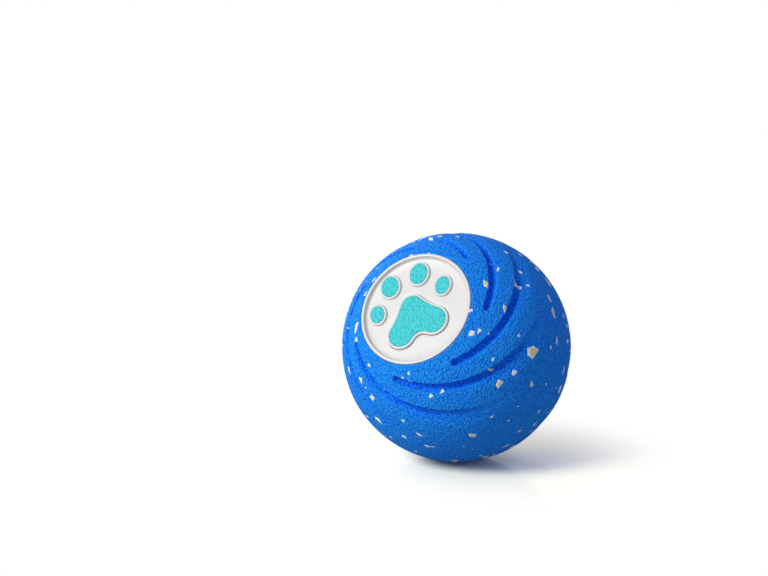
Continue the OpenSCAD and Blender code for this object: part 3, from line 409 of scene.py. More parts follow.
print("chips placed by eye:", len(WHITE_CHIPS), "white,", len(CREAM_CHIPS), "cream")

# %% One chip
CHIP_LIFT, CHIP_SINK = 0.05 * MM, 0.3 * MM
CHIP_SHARES = (1.0, 0.9, 0.6, 0.3)
HEART_SHARE, HEART_SLIP, HEART_LIFT = 0.68, 0.07, 0.08 * MM
CHIP_CORNERS = (3, 4, 4, 5, 5)
CORNER_SHIFT, CORNER_REACH = 0.3, (0.46, 0.7)
EDGE_POINTS = 3
CHIP_SEED = 7
chance = random.Random(CHIP_SEED)


def chip_outline(length, width):
    """An uneven splinter with 3 to 5 sharp corners, its straight edges split so that it can bend."""
    corners = chance.choice(CHIP_CORNERS)
    start = chance.uniform(0, 1)
    places = [k + start + chance.uniform(-CORNER_SHIFT, CORNER_SHIFT) for k in range(corners)]
    turns = [2 * math.pi * place / corners for place in places]
    sizes = [chance.uniform(*CORNER_REACH) for _ in turns]
    points = [(length * s * math.cos(t), width * s * math.sin(t)) for t, s in zip(turns, sizes)]
    points = np.array(points)
    steps = np.arange(EDGE_POINTS)[:, None, None] / EDGE_POINTS
    return (points + (np.roll(points, -1, 0) - points) * steps).transpose(1, 0, 2).reshape(-1, 2)


def chip_shell(direction, lean, outline, lift):
    """A slab that follows the skin around a direction; both vectors are on the core's axes."""
    lean = (lean - direction * lean.dot(direction)).normalized()
    aside = direction.cross(lean)

    def ring(share, rise):
        flat = outline.mean(0) + (outline - outline.mean(0)) * share
        spots = np.array(direction) * BALL_R + flat[:, :1] * np.array(lean)
        spots = spots + flat[:, 1:] * np.array(aside)
        polar = np.degrees(np.arctan2(reach(spots), spots[:, 2]))
        turn = np.degrees(np.arctan2(spots[:, 1], spots[:, 0]))
        return on_skin(polar, turn, foam_radius(polar, turn) + rise)

    low = [ring(share, -CHIP_SINK) for share in reversed(CHIP_SHARES)]
    top = [ring(CHIP_SHARES[0], 0)] + [ring(share, lift) for share in CHIP_SHARES[1:]]
    return ring_shell(low + top)


def splinters(direction, lean, length, width, cream):
    """A white chip, and on a cream one a smaller cream heart inside its white edge."""
    outline = chip_outline(length * MM, width * MM)
    white = chip_shell(direction, lean, outline, CHIP_LIFT)
    if not cream:
        return white, None
    slip = np.array([chance.uniform(-1, 1), chance.uniform(-1, 1)]) * HEART_SLIP
    slip = slip * (length * MM, width * MM)
    return white, chip_shell(direction, lean, outline * HEART_SHARE + slip, HEART_LIFT)


def ball_direction(x, y):
    """Where the ray through a pixel meets the ball, as a direction from the ball's middle."""
    ray = Vector(((x - PICTURE_W / 2) / focal_px, -(y - PICTURE_H / 2) / focal_px, -1))
    ray = (camera.rotation_quaternion @ ray).normalized()
    along = (CENTRE - eye).dot(ray)
    side = (eye + ray * along - CENTRE).length
    half = math.sqrt(max(BALL_R ** 2 - side ** 2, 0))
    return (eye + ray * (along - half) - CENTRE).normalized()


turn_to_core = TO_CORE.to_3x3()


def seen_chip(x, y, length, width, degrees, cream):
    """A chip at a place in the picture, leaning by an angle from level."""
    angle = math.radians(degrees)
    lean = RIGHT * math.cos(angle) + UP * math.sin(angle)
    direction = turn_to_core @ ball_direction(x, y)
    return splinters(direction, turn_to_core @ lean, length, width, cream)


# This sample takes the first draws of the seed, so the chips below depend on it
print("outline points of a sample chip:", len(chip_outline(length=2, width=1)))

# %% Chips for the rest of the ball
SPARE_CHIPS, SPARE_SPECKS = 210, 90
CAP_CLEAR = 35.0
FACING_LIMIT = 0.32
camera_side = turn_to_core @ BACK


def spare_direction():
    """A random direction on the foam that the picture doesn't show well."""
    while True:
        spot = Vector((chance.gauss(0, 1), chance.gauss(0, 1), chance.gauss(0, 1))).normalized()
        polar = math.degrees(math.acos(spot.z))
        if CAP_CLEAR < polar < 180 - CAP_CLEAR and spot.dot(camera_side) < FACING_LIMIT:
            return spot


CHIP_LENGTHS = (1.3, 1.6, 2.0, 2.2, 2.6, 3.2)
SPECK_LENGTHS = (0.5, 0.9)
CHIP_SLIMNESS = (0.4, 0.9)


def spare_chip(small, cream):
    """A random chip, or a speck if it is small."""
    lean = Vector((chance.uniform(-1, 1), chance.uniform(-1, 1), chance.uniform(-1, 1)))
    length = chance.uniform(*SPECK_LENGTHS) if small else chance.choice(CHIP_LENGTHS)
    direction = spare_direction()
    return splinters(direction, lean, length, length * chance.uniform(*CHIP_SLIMNESS), cream)


CREAM_EVERY = 6
CHIP_CREASE = 30
slabs = [seen_chip(*c, False) for c in WHITE_CHIPS] + [seen_chip(*c, True) for c in CREAM_CHIPS]
slabs += [spare_chip(False, k % CREAM_EVERY == 0) for k in range(SPARE_CHIPS)]
slabs += [spare_chip(True, False) for _ in range(SPARE_SPECKS)]
chips_white = mesh_of("foam_chips_white", [white for white, _ in slabs], CHIP_CREASE)
chips_cream = mesh_of("foam_chips_cream", [heart for _, heart in slabs if heart], CHIP_CREASE)
for chips in (chips_white, chips_cream):
    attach(chips, "ball")
print("chip faces", len(chips_white.data.polygons) + len(chips_cream.data.polygons))

# %% [markdown]
# ## Outlines of the paw
# The paw is drawn once, in the construction. Its teal inlays have the right outlines already, so
# the lesson reads them from the frame, orders their corners around the middle, and puts extra
# corners on a smooth curve between them. Growing an outline moves each corner square to its edge,
# which gives the white border, the gap around the button and every rounded edge.

# %% Paw outlines from the frame
NEAR = 2 * MM
SAME = 0.01 * MM
FINER = 3


def islands(points):
    """Groups of points in which each lies near another."""
    groups, left = [], list(range(len(points)))
    while left:
        group = [left.pop()]
        for i in group:
            near = [j for j in left if np.linalg.norm(points[j] - points[i]) < NEAR]
            group += near
            left = [j for j in left if j not in near]
        groups.append(points[group])
    return groups


def ordered(points):
    """Corners in order around their middle, with doubles left out."""
    aside = points - (points.min(0) + points.max(0)) / 2
    points = points[np.argsort(np.arctan2(aside[:, 1], aside[:, 0]))]
    return points[np.linalg.norm(points - np.roll(points, 1, 0), axis=1) > SAME]


def finer(outline):
    """More corners on a smooth closed curve. Its weights are those of a cubic that runs through every
    given corner, in the direction from the corner before to the one after."""
    before, after, beyond = (np.roll(outline, shift, 0) for shift in (1, -1, -2))
    slope, bend = after - before, 2 * before - 5 * outline + 4 * after - beyond
    twist = 3 * outline - 3 * after + beyond - before
    steps = [outline + 0.5 * t * (slope + t * (bend + t * twist)) for t in np.arange(FINER) / FINER]
    return np.stack(steps, 1).reshape(-1, 2)


def grown(outline, out):
    """The outline moved out square to itself, or in if the distance is negative."""
    along = np.roll(outline, -1, 0) - np.roll(outline, 1, 0)
    square = np.column_stack([along[:, 1], -along[:, 0]])
    return outline + out * square / np.linalg.norm(square, axis=1)[:, None]


def top_outlines(node):
    """The outlines of a node's top faces, one for each separate face."""
    points = core_points(node)
    top = points[points[:, 2] > points[:, 2].max() - SAME][:, :2]
    return [finer(ordered(group)) for group in islands(top)]


pad_inlay = top_outlines("paw_inlay")[0]
toe_inlays = top_outlines("toe_inlays")
print("corners of the main pad", len(pad_inlay), "and of the toes", [len(t) for t in toe_inlays])

# %% [markdown]
# ## The paw cap
# The white cap is a moulded disc with a raised rim, four raised toe pads and a hole for the button.
# All its edges are rounded by a few tenths of a millimetre, as a mould leaves them, and those
# rounded edges draw the thin bright lines in the picture. The floor is one grid whose columns run
# from the button's hole out to the rim, so no boolean is needed. Toes, posts and the ring under the
# cap are closed shells that sit in the floor.

# %% Heights of the cap and helpers for its shells
CAP_RECESS, CAP_FLOOR_T, RIM_W = 1.4 * MM, 2.0 * MM, 1.1 * MM
PAD_RISE, PAD_BORDER, BUTTON_GAP, INLAY_GAP = 0.85 * MM, 0.75 * MM, 0.15 * MM, 0.05 * MM
INLAY_DEPTH, INLAY_PROUD = 0.8 * MM, 0.1 * MM
FLOOR_Z = FACE_Z - CAP_RECESS
UNDER_Z = FLOOR_Z - CAP_FLOOR_T
PAD_TOP = FLOOR_Z + PAD_RISE
INLAY_LOW, INLAY_TOP = PAD_TOP - INLAY_DEPTH, PAD_TOP + INLAY_PROUD
RIM_R = CORE_R - RIM_W
MOULD_CREASE = 50
POST_COLUMNS = 32


def profile_rings(outline, profile):
    """Rings from an outline, for each pair of distance out from it and height."""
    return [at_height(grown(outline, out), z) for out, z in profile]


def round_post(radius, low, high, middle):
    return ring_shell([at_height(circle(radius, middle, POST_COLUMNS), z) for z in (low, high)])


for label, size in (("floor below the rim", CAP_RECESS), ("pads above the floor", PAD_RISE)):
    print(label, round(size / MM, 2), "mm")

# %% Cap floor and rim as one grid
HOLE_EDGE, RIM_EDGE, RIM_FILLET = 0.12 * MM, 0.35 * MM, 0.95 * MM
FLOOR_SHARES = (0.15, 0.4, 0.7)
hole_out = INLAY_GAP + PAD_BORDER + BUTTON_GAP
hole = grown(pad_inlay, hole_out)
pad_middle = (hole.min(0) + hole.max(0)) / 2


def rim_points(radius):
    """Where rays from the pad's middle through the hole's corners meet a circle."""
    ray = hole - pad_middle
    ray = ray / np.linalg.norm(ray, axis=1)[:, None]
    along = ray @ pad_middle
    length = np.sqrt(along ** 2 + radius ** 2 - pad_middle @ pad_middle) - along
    return pad_middle + ray * length[:, None]


round_cap = rim_points(RIM_R - RIM_FILLET) / (RIM_R - RIM_FILLET)
hole_profile = [(0, UNDER_Z)] + wall_to_level(0, FLOOR_Z, HOLE_EDGE, -HOLE_EDGE)
cap_rows = profile_rings(hole, hole_profile)
floor_start = grown(hole, HOLE_EDGE)
floor_end = round_cap * (RIM_R - RIM_FILLET)
floor_run = floor_end - floor_start
cap_rows += [at_height(floor_start + floor_run * share, FLOOR_Z) for share in FLOOR_SHARES]
rim_profile = level_to_wall(RIM_R, FLOOR_Z, -RIM_FILLET, RIM_FILLET)
rim_profile += wall_to_level(RIM_R, FACE_Z, RIM_EDGE, -RIM_EDGE)
rim_profile += reversed(wall_to_level(CORE_R, FACE_Z, -RIM_EDGE, -RIM_EDGE))
rim_profile += [(CORE_R, UNDER_Z)]
cap_rows += [at_height(round_cap * radius, z) for radius, z in rim_profile]
cap_floor = loop_shell(cap_rows)
print("cap floor corners", len(cap_floor[0]))

# %% Toe pads, posts and the ring under the cap
PAD_EDGE, POCKET_EDGE, TOE_FLARE, SUNK = 0.35 * MM, 0.12 * MM, 0.25 * MM, 0.3 * MM
SPIGOT_IN, SPIGOT_OUT, SPIGOT_L, SPIGOT_COLUMNS = 16.6 * MM, 17.6 * MM, 2.5 * MM, 128
POST_R, POST_CIRCLE, POST_ANGLES = 1.8 * MM, 14.0 * MM, (-58, 62, 182)
board_top = core_points("main_board")[:, 2].max()
border_out = INLAY_GAP + PAD_BORDER
foot = [(border_out + TOE_FLARE, FLOOR_Z - SUNK)]
foot += level_to_wall(border_out, FLOOR_Z, TOE_FLARE, TOE_FLARE)
pad_edge = wall_to_level(border_out, PAD_TOP, -PAD_EDGE, -PAD_EDGE)
pocket = level_to_wall(INLAY_GAP, PAD_TOP, POCKET_EDGE, -POCKET_EDGE) + [(INLAY_GAP, INLAY_LOW)]
toe_profile = foot + pad_edge + pocket
toe_shells = [ring_shell(profile_rings(toe, toe_profile)) for toe in toe_inlays]
post_middles = [POST_CIRCLE * np.array((math.cos(a), math.sin(a))) for a in map(math.radians, POST_ANGLES)]
root_z, tip_z = UNDER_Z + SUNK, UNDER_Z - SPIGOT_L
posts = [round_post(POST_R, board_top, root_z, middle) for middle in post_middles]
spigot_profile = [(SPIGOT_IN, root_z), (SPIGOT_IN, tip_z), (SPIGOT_OUT, tip_z), (SPIGOT_OUT, root_z)]
spigot = loop_shell([at_height(circle(r, (0, 0), SPIGOT_COLUMNS), z) for r, z in spigot_profile])
paw_cap = mesh_of("paw_cap", [cap_floor, spigot] + toe_shells + posts, MOULD_CREASE)
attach(paw_cap, "ball")
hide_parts("front_cap")
print("paw cap faces", len(paw_cap.data.polygons))

# %% [markdown]
# ## The paw button
# The main pad is the button: it slides in its hole, a flange below stops it from coming out, and a
# stem presses the switch. It is one stack of rings, from the flange up over the rounded border and
# down into the pocket that holds the teal inlay.

# %% Paw button
FLANGE_W, FLANGE_T, FLANGE_GAP = 0.9 * MM, 1.2 * MM, 0.1 * MM
STEM_R = 2.0 * MM
flange_top = UNDER_Z - FLANGE_GAP
stem_end = core_points("paw_button")[:, 2].min()
plunger = core_points("switch_plunger")
stem_middle = (plunger.min(0)[:2] + plunger.max(0)[:2]) / 2
flange_out = border_out + FLANGE_W
button_profile = [(flange_out, flange_top - FLANGE_T), (flange_out, flange_top), (border_out, flange_top)]
button_profile += pad_edge + pocket
button_shells = [ring_shell(profile_rings(pad_inlay, button_profile)),
                 round_post(STEM_R, stem_end, flange_top - FLANGE_T / 2, stem_middle)]
paw_button_top = mesh_of("paw_button_top", button_shells, MOULD_CREASE)
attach(paw_button_top, "button")
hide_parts("paw_button")
print("button faces", len(paw_button_top.data.polygons))

# %% [markdown]
# ## The teal inlays
# Five soft inlays fill the pads. Their edges are rounded and their faces swell very slightly, which
# a flat plate would not show. The swell is made by rings that shrink towards the middle while they
# rise along a curve.

# %% Inlays
INLAY_EDGE, CROWN = 0.22 * MM, 0.08 * MM
CROWN_SHARES = (0.85, 0.65, 0.42, 0.2)


def inlay_shell(outline):
    profile = [(0, INLAY_LOW)] + wall_to_level(0, INLAY_TOP, -INLAY_EDGE, -INLAY_EDGE)
    rings = profile_rings(outline, profile)
    edge, middle = rings[-1][:, :2], (outline.min(0) + outline.max(0)) / 2
    for share in CROWN_SHARES:
        crown = INLAY_TOP + CROWN * (1 - share * share)
        rings.append(at_height(middle + (edge - middle) * share, crown))
    return ring_shell(rings)


teal_toes = mesh_of("teal_toes", [inlay_shell(toe) for toe in toe_inlays], MOULD_CREASE)
teal_pad = mesh_of("teal_pad", [inlay_shell(pad_inlay)], MOULD_CREASE)
for piece, body, node in ((teal_toes, "ball", "toe_inlays"), (teal_pad, "button", "paw_inlay")):
    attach(piece, body)
    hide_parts(node)
print("inlay faces", len(teal_toes.data.polygons) + len(teal_pad.data.polygons))

# %% [markdown]
# ## The charging cap's screws
# Four small pan-head screws hold the charging cap. Their heads are domes with a cross recess. The
# recess is carved by a formula on a fine polar grid, and the shank is a plain round below it.

# %% Pan heads with a cross recess
SCREW_R, SCREW_HEAD_R, SCREW_HEAD_H = 1.0 * MM, 1.8 * MM, 1.2 * MM
DOME, DOME_POWER = 0.35 * MM, 3
CROSS_HALF_W, CROSS_REACH, CROSS_DEPTH, CROSS_SOFT = 0.2 * MM, 1.0 * MM, 0.6 * MM, 0.12 * MM
HEAD_ROWS, HEAD_COLUMNS, HEAD_EYE = 16, 96, 0.04
SCREWS, SCREW_TURN, SCREW_CREASE = 4, math.radians(20), 60
screw_points = core_points("cap_screws")
head_low, shank_top = screw_points[:, 2].min(), screw_points[:, 2].max()
screw_circle = reach(screw_points).max() - SCREW_HEAD_R
screw_angles = [math.pi / 4 + k * math.pi / 2 for k in range(SCREWS)]
head_radii = np.linspace(1, HEAD_EYE, HEAD_ROWS) * SCREW_HEAD_R


def cross_recess(x, y):
    """1 inside a cross of four short arms, 0 outside."""
    across, along = np.minimum(abs(x), abs(y)), np.maximum(abs(x), abs(y))
    arm = 1 - smooth_step(CROSS_HALF_W - CROSS_SOFT, CROSS_HALF_W + CROSS_SOFT, across)
    return arm * (1 - smooth_step(CROSS_REACH - 2 * CROSS_SOFT, CROSS_REACH, along))


def screw_shells(angle, number):
    """Head and shank of one screw, its cross turned a little farther than the one before."""
    middle = screw_circle * np.array((math.cos(angle), math.sin(angle)))
    rings = [at_height(circle(SCREW_HEAD_R, middle, HEAD_COLUMNS), head_low + SCREW_HEAD_H)]
    turn = SCREW_TURN * number
    for radius in head_radii:
        flat = circle(radius, (0, 0), HEAD_COLUMNS)
        x = flat[:, 0] * math.cos(turn) - flat[:, 1] * math.sin(turn)
        y = flat[:, 0] * math.sin(turn) + flat[:, 1] * math.cos(turn)
        dome = DOME * (radius / SCREW_HEAD_R) ** DOME_POWER
        z = head_low + dome + CROSS_DEPTH * cross_recess(x, y)
        rings.append(np.column_stack([flat + middle, z]))
    return [ring_shell(rings), round_post(SCREW_R, head_low + SCREW_HEAD_H, shank_top, middle)]


all_screws = []
for number, angle in enumerate(screw_angles):
    all_screws += screw_shells(angle, number)
cross_screws = mesh_of("cross_screws", all_screws, SCREW_CREASE)
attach(cross_screws, "ball")
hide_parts("cap_screws")
print("screws at", round(screw_circle / MM, 2), "mm from the axis")

# %% [markdown]
# ## Softer edges on pieces that stay
# The charging cap, its door and some parts inside already have the right shape. But neither a mould
# nor a press leaves a razor edge, so these nodes get two modifiers: Weld joins the corners that the
# frame keeps apart, and Bevel rounds every sharp edge by a small amount that catches the light.

# %% Rounded edges by modifier
EDGE_ANGLE, EDGE_STEPS = math.radians(35), 2
SAME_CORNER = 1e-6
SOFT_EDGES = {
    "rear_cap": 0.18 * MM, "port_door": 0.15 * MM, "port_plug": 0.15 * MM,
    "swing_weight": 0.3 * MM, "battery_cell": 0.2 * MM, "motor_can": 0.3 * MM,
    "gear_plate": 0.1 * MM, "gear_cover": 0.1 * MM}


def soften(node, width):
    piece = frame["nodes"][node]
    weld = piece.modifiers.new("join_corners", "WELD")
    weld.merge_threshold = SAME_CORNER
    bevel = piece.modifiers.new("round_edges", "BEVEL")
    bevel.width = width
    bevel.segments = EDGE_STEPS
    bevel.limit_method = "ANGLE"
    bevel.angle_limit = EDGE_ANGLE
    bevel.harden_normals = True


for node, width in SOFT_EDGES.items():
    soften(node, width)
print("softened", ", ".join(SOFT_EDGES))

# %% [markdown]
# ## Shared effects as node groups
# Several finishes need the same three effects: the pebbled grain of foam and soft inlays, the fine
# skin of moulded plastic, and the drawn lines of metal. Each is a shader node group, built once and
# placed in every material that needs it with its own values. A group only hands out colours, masks
# and heights. The shader itself stays in the material.

# %% Helpers for nodes


def srgb(colour):
    """A colour as a screen shows it, 0 to 255, turned into the linear light that shaders use."""
    shares = [c / 255 for c in colour]
    return tuple(c / 12.92 if c <= 0.04045 else ((c + 0.055) / 1.055) ** 2.4 for c in shares) + (1.0,)


def add(tree, kind, sockets=None, **settings):
    """A shader node with its settings, and its sockets set to values or linked to other nodes."""
    made = tree.nodes.new("ShaderNode" + kind)
    for key, value in settings.items():
        setattr(made, key, value)
    for key, value in (sockets or {}).items():
        if isinstance(value, bpy.types.NodeSocket):
            tree.links.new(value, made.inputs[key])
        else:
            made.inputs[key].default_value = value
    return made


def new_group(name, inputs, outputs):
    """An empty node group with named sockets, and the two nodes that stand for them inside."""
    group = bpy.data.node_groups.new(name, "ShaderNodeTree")
    for direction, sockets in (("INPUT", inputs), ("OUTPUT", outputs)):
        for label, kind in sockets:
            group.interface.new_socket(name=label, in_out=direction, socket_type="NodeSocket" + kind)
    return group, group.nodes.new("NodeGroupInput").outputs, group.nodes.new("NodeGroupOutput").inputs


def hand_out(group, outputs, **values):
    for label, socket in values.items():
        group.links.new(socket, outputs[label])


def maths(tree, operation, first, second=0.0):
    return add(tree, "Math", {0: first, 1: second}, operation=operation).outputs[0]


def vectors(tree, operation, first, second):
    return add(tree, "VectorMath", {0: first, 1: second}, operation=operation).outputs[0]


def lengthened(tree, vector, factor):
    return add(tree, "VectorMath", {0: vector, "Scale": factor}, operation="SCALE").outputs[0]


def blended(tree, share, first, second):
    """A colour between two, by a mask. A Mix node keeps sockets for numbers, vectors and colours side
    by side, and its colours are inputs 6 and 7 and output 2."""
    mix = add(tree, "Mix", {0: share, 6: first, 7: second}, data_type="RGBA")
    return mix.outputs[2]


def noise_value(tree, spots, scale, detail):
    return add(tree, "TexNoise", {"Vector": spots, "Scale": scale, "Detail": detail}).outputs[0]


def eased(tree, value, low, high):
    """A mask that rises smoothly from 0 to 1 between two values."""
    limits = {"Value": value, "From Min": low, "From Max": high}
    return add(tree, "MapRange", limits, interpolation_type="SMOOTHSTEP").outputs[0]


def swing(tree, value, amount):
    """A value that goes both ways around 0, from a noise that goes both ways around a half."""
    return maths(tree, "MULTIPLY", maths(tree, "SUBTRACT", value, 0.5), amount)


print("node helpers ready")

# %% Pebbled grain
DRIFT_SCALE, CRUMB_SCALE, PATCH_SCALE = 0.8, 2.6, 0.06
CRUMB_PART = 0.15
CREASE_START, CREASE_FULL = 0.3, 0.65
HALF_EACH_WAY = (0.5, 0.5, 0.5)
grain, grain_in, grain_out = new_group(
    "pebble_grain",
    [("Coordinates", "Vector"), ("Cells", "Float"), ("Stretch", "Vector"), ("Wander", "Float")],
    [("Height", "Float"), ("Crease", "Float"), ("Tone", "Float")])
stretched = vectors(grain, "MULTIPLY", grain_in["Coordinates"], grain_in["Stretch"])
scaled = lengthened(grain, stretched, grain_in["Cells"])
drift = add(grain, "TexNoise", {"Vector": scaled, "Scale": DRIFT_SCALE, "Detail": 1.0}).outputs["Color"]
wander = lengthened(grain, vectors(grain, "SUBTRACT", drift, HALF_EACH_WAY), grain_in["Wander"])
warped = vectors(grain, "ADD", scaled, wander)
pebbles = add(grain, "TexVoronoi", {"Vector": warped, "Scale": 1.0}, feature="F1").outputs["Distance"]
crumbs = noise_value(grain, warped, CRUMB_SCALE, 2.0)
round_top = maths(grain, "MULTIPLY", pebbles, pebbles)
height = maths(grain, "SUBTRACT", maths(grain, "MULTIPLY", crumbs, CRUMB_PART), round_top)
# The crease mask rises towards the cells' edges; finishes use it for roughness and for painted shade
crease = eased(grain, pebbles, CREASE_START, CREASE_FULL)
tone = noise_value(grain, scaled, PATCH_SCALE, 2.0)
hand_out(grain, grain_out, Height=height, Crease=crease, Tone=tone)
print("group", grain.name, "with", len(grain.nodes), "nodes")

# %% Moulded skin
CLOUD_SCALE, CLOUD_START, CLOUD_FULL = 55.0, 0.38, 0.72
SKIN_SWING = 0.18
TINTED_INPUTS = [
    ("Coordinates", "Vector"), ("Roughness", "Float"), ("Tint", "Color"), ("Shade", "Color")]
TINTED_OUTPUTS = [("Color", "Color"), ("Roughness", "Float"), ("Height", "Float")]
skin_group, skin_in, skin_out = new_group(
    "moulded_skin", TINTED_INPUTS + [("Spark", "Float")], TINTED_OUTPUTS)
spark = noise_value(skin_group, skin_in["Coordinates"], skin_in["Spark"], 2.0)
cloud = noise_value(skin_group, skin_in["Coordinates"], CLOUD_SCALE, 3.0)
cloud_mask = eased(skin_group, cloud, CLOUD_START, CLOUD_FULL)
skin_color = blended(skin_group, cloud_mask, skin_in["Tint"], skin_in["Shade"])
skin_rough = maths(skin_group, "ADD", skin_in["Roughness"], swing(skin_group, cloud, SKIN_SWING))
hand_out(skin_group, skin_out, Color=skin_color, Roughness=skin_rough, Height=spark)
print("group", skin_group.name, "with", len(skin_group.nodes), "nodes")

# %% Drawn metal
LINE_CELLS, STAIN_SCALE = (9000.0, 900.0, 2500.0), 240.0
LINE_SWING = 0.3
metal, metal_in, metal_out = new_group("drawn_metal", TINTED_INPUTS, TINTED_OUTPUTS)
fine = vectors(metal, "MULTIPLY", metal_in["Coordinates"], LINE_CELLS)
lines = noise_value(metal, fine, 1.0, 3.0)
stain = noise_value(metal, metal_in["Coordinates"], STAIN_SCALE, 3.0)
metal_mix = maths(metal, "MULTIPLY", maths(metal, "ADD", lines, stain), 0.5)
metal_color = blended(metal, metal_mix, metal_in["Shade"], metal_in["Tint"])
metal_rough = maths(metal, "ADD", metal_in["Roughness"], swing(metal, lines, LINE_SWING))
hand_out(metal, metal_out, Color=metal_color, Roughness=metal_rough, Height=lines)
print("group", metal.name, "with", len(metal.nodes), "nodes")

# %% [markdown]
# ## Finishes
# Each finish is a Principled BSDF fed by one of the groups. Values that are the same all over, such
# as the weak gloss of the foam, are set on the shader's own sockets, where an export can read them.
# Object coordinates are metres in the ball's own frame, so a grain of 0.6 mm is about 1700 cells per
# metre. The foam's finish also reads the groove attribute of its mesh and paints extra shade into the
# grooves as a deeper blue, because in the photograph the grooves are darker than their shade alone
# would make them.

# %% A material with a group in it


def new_finish(name, group, **inputs):
    """A material, its shader and its effect group, with the group fed by object coordinates."""
    material = bpy.data.materials.new(name)
    material.use_nodes = True
    tree = material.node_tree
    shader = tree.nodes["Principled BSDF"]
    spots = add(tree, "TexCoord").outputs["Object"]
    effect = add(tree, "Group", node_tree=group)
    tree.links.new(spots, effect.inputs["Coordinates"])
    for label, value in inputs.items():
        effect.inputs[label].default_value = value
    return material, tree, shader, effect.outputs


def raise_surface(tree, shader, height, depth):
    bump = add(tree, "Bump", {"Height": height, "Distance": depth, "Strength": 1.0})
    tree.links.new(bump.outputs[0], shader.inputs["Normal"])


def dress(piece, material):
    piece.data.materials.clear()
    piece.data.materials.append(material)


print("finish helpers ready")

# %% Foam and its chips
GRAIN_CELLS, GRAIN_DEPTH = 1700.0, 0.55 * MM
GRAIN_STRETCH, GRAIN_WANDER = (1.0, 1.0, 0.66), 0.7
GRAIN_GLOSS = 0.12
# Shares of the deeper colour: slow random patches, painted shade in the grain's creases, painted shade in the
# grooves
PATCH_PART, CREASE_SHADE_PART, GROOVE_SHADE_PART = 0.2, 0.46, 0.5
CREASE_ROUGH, FOAM_ROUGH, INLAY_ROUGH = 0.2, 0.75, 0.6
CHIP_GRAIN, TEAL_GRAIN = 0.1 * MM, 0.34 * MM


def grained(name, tint, deep, depth, roughness, groove_shade_part=0.0):
    """A matte pebbled finish with slow patches of deeper colour, and painted shade in its creases and, when a
    share is given, in its grooves.
    """
    values = {"Cells": GRAIN_CELLS, "Stretch": GRAIN_STRETCH, "Wander": GRAIN_WANDER}
    material, tree, shader, effect = new_finish(name, grain, **values)
    # Painted shade: the grain's creases get a deeper colour
    patch = maths(tree, "MULTIPLY", effect["Tone"], PATCH_PART)
    crease_shade = maths(tree, "MULTIPLY", effect["Crease"], CREASE_SHADE_PART)
    share = maths(tree, "ADD", patch, crease_shade)
    # Painted shade: the grooves get a deeper colour by their depth
    if groove_shade_part:
        groove = add(tree, "Attribute", attribute_name="groove").outputs["Fac"]
        share = maths(tree, "ADD", share, maths(tree, "MULTIPLY", groove, groove_shade_part))
    tree.links.new(blended(tree, share, srgb(tint), srgb(deep)), shader.inputs["Base Color"])
    rough = maths(tree, "ADD", maths(tree, "MULTIPLY", effect["Crease"], CREASE_ROUGH), roughness)
    tree.links.new(rough, shader.inputs["Roughness"])
    shader.inputs["Specular IOR Level"].default_value = GRAIN_GLOSS
    raise_surface(tree, shader, effect["Height"], depth)
    return material


foam_finish = grained("foam_blue", (36, 167, 255), (12, 106, 250), GRAIN_DEPTH, FOAM_ROUGH, GROOVE_SHADE_PART)
white_finish = grained("chip_white", (249, 253, 245), (234, 243, 238), CHIP_GRAIN, INLAY_ROUGH)
cream_finish = grained("chip_cream", (244, 234, 160), (224, 212, 120), CHIP_GRAIN, INLAY_ROUGH)
teal_finish = grained("paw_teal", (90, 225, 220), (48, 192, 194), TEAL_GRAIN, INLAY_ROUGH)
dress(foam_ball, foam_finish)
dress(chips_white, white_finish)
dress(chips_cream, cream_finish)
for piece in (teal_pad, teal_toes):
    dress(piece, teal_finish)
print("grained finishes on foam, chips and inlays")

# %% Plastics and metals
SPARK = 2600.0
SKIN_DEPTH, SEAL_DEPTH, LINE_DEPTH = 0.006 * MM, 0.012 * MM, 0.004 * MM


def tinted(name, group, depth, tint, shade, roughness, **more):
    """A finish whose colour, roughness and height come from a group, and its shader."""
    values = {"Roughness": roughness, "Tint": srgb(tint), "Shade": srgb(shade), **more}
    material, tree, shader, effect = new_finish(name, group, **values)
    tree.links.new(effect["Color"], shader.inputs["Base Color"])
    tree.links.new(effect["Roughness"], shader.inputs["Roughness"])
    raise_surface(tree, shader, effect["Height"], depth)
    return material, shader


def moulded(name, tint, shade, roughness=0.4, coat=0.0, depth=SKIN_DEPTH):
    material, shader = tinted(name, skin_group, depth, tint, shade, roughness, Spark=SPARK)
    shader.inputs["Coat Weight"].default_value = coat
    return material


def turned(name, tint, shade, roughness=0.32):
    material, shader = tinted(name, metal, LINE_DEPTH, tint, shade, roughness)
    shader.inputs["Metallic"].default_value = 1.0
    return material


# Name, tint and shade, then roughness, coat and depth where they differ from the usual
PLASTICS = (
    ("cap_white", (222, 220, 212), (216, 214, 206), 0.34),
    ("tube_grey", (217, 221, 226), (204, 208, 214)),
    ("frame_grey", (58, 61, 66), (48, 51, 55), 0.5),
    ("board_green", (30, 110, 72), (22, 92, 58), 0.28, 0.4),
    ("chip_black", (34, 34, 36), (26, 26, 28), 0.5),
    ("led_clear", (244, 240, 205), (232, 226, 180), 0.15, 0.5),
    ("plunger_white", (240, 240, 238), (228, 228, 226)),
    ("battery_wrap", (112, 158, 204), (92, 140, 190), 0.25, 0.5),
    ("endbell_ivory", (236, 228, 206), (222, 212, 186)),
    ("gear_ivory", (240, 236, 224), (226, 222, 206), 0.36),
    ("seal_grey", (85, 88, 92), (70, 73, 77), 0.7, 0.0, SEAL_DEPTH),
    ("ribbon_cream", (232, 226, 208), (214, 206, 184), 0.45),
    ("lead_red", (186, 38, 34), (158, 28, 26), 0.3),
    ("lead_black", (30, 30, 31), (22, 22, 23), 0.3))
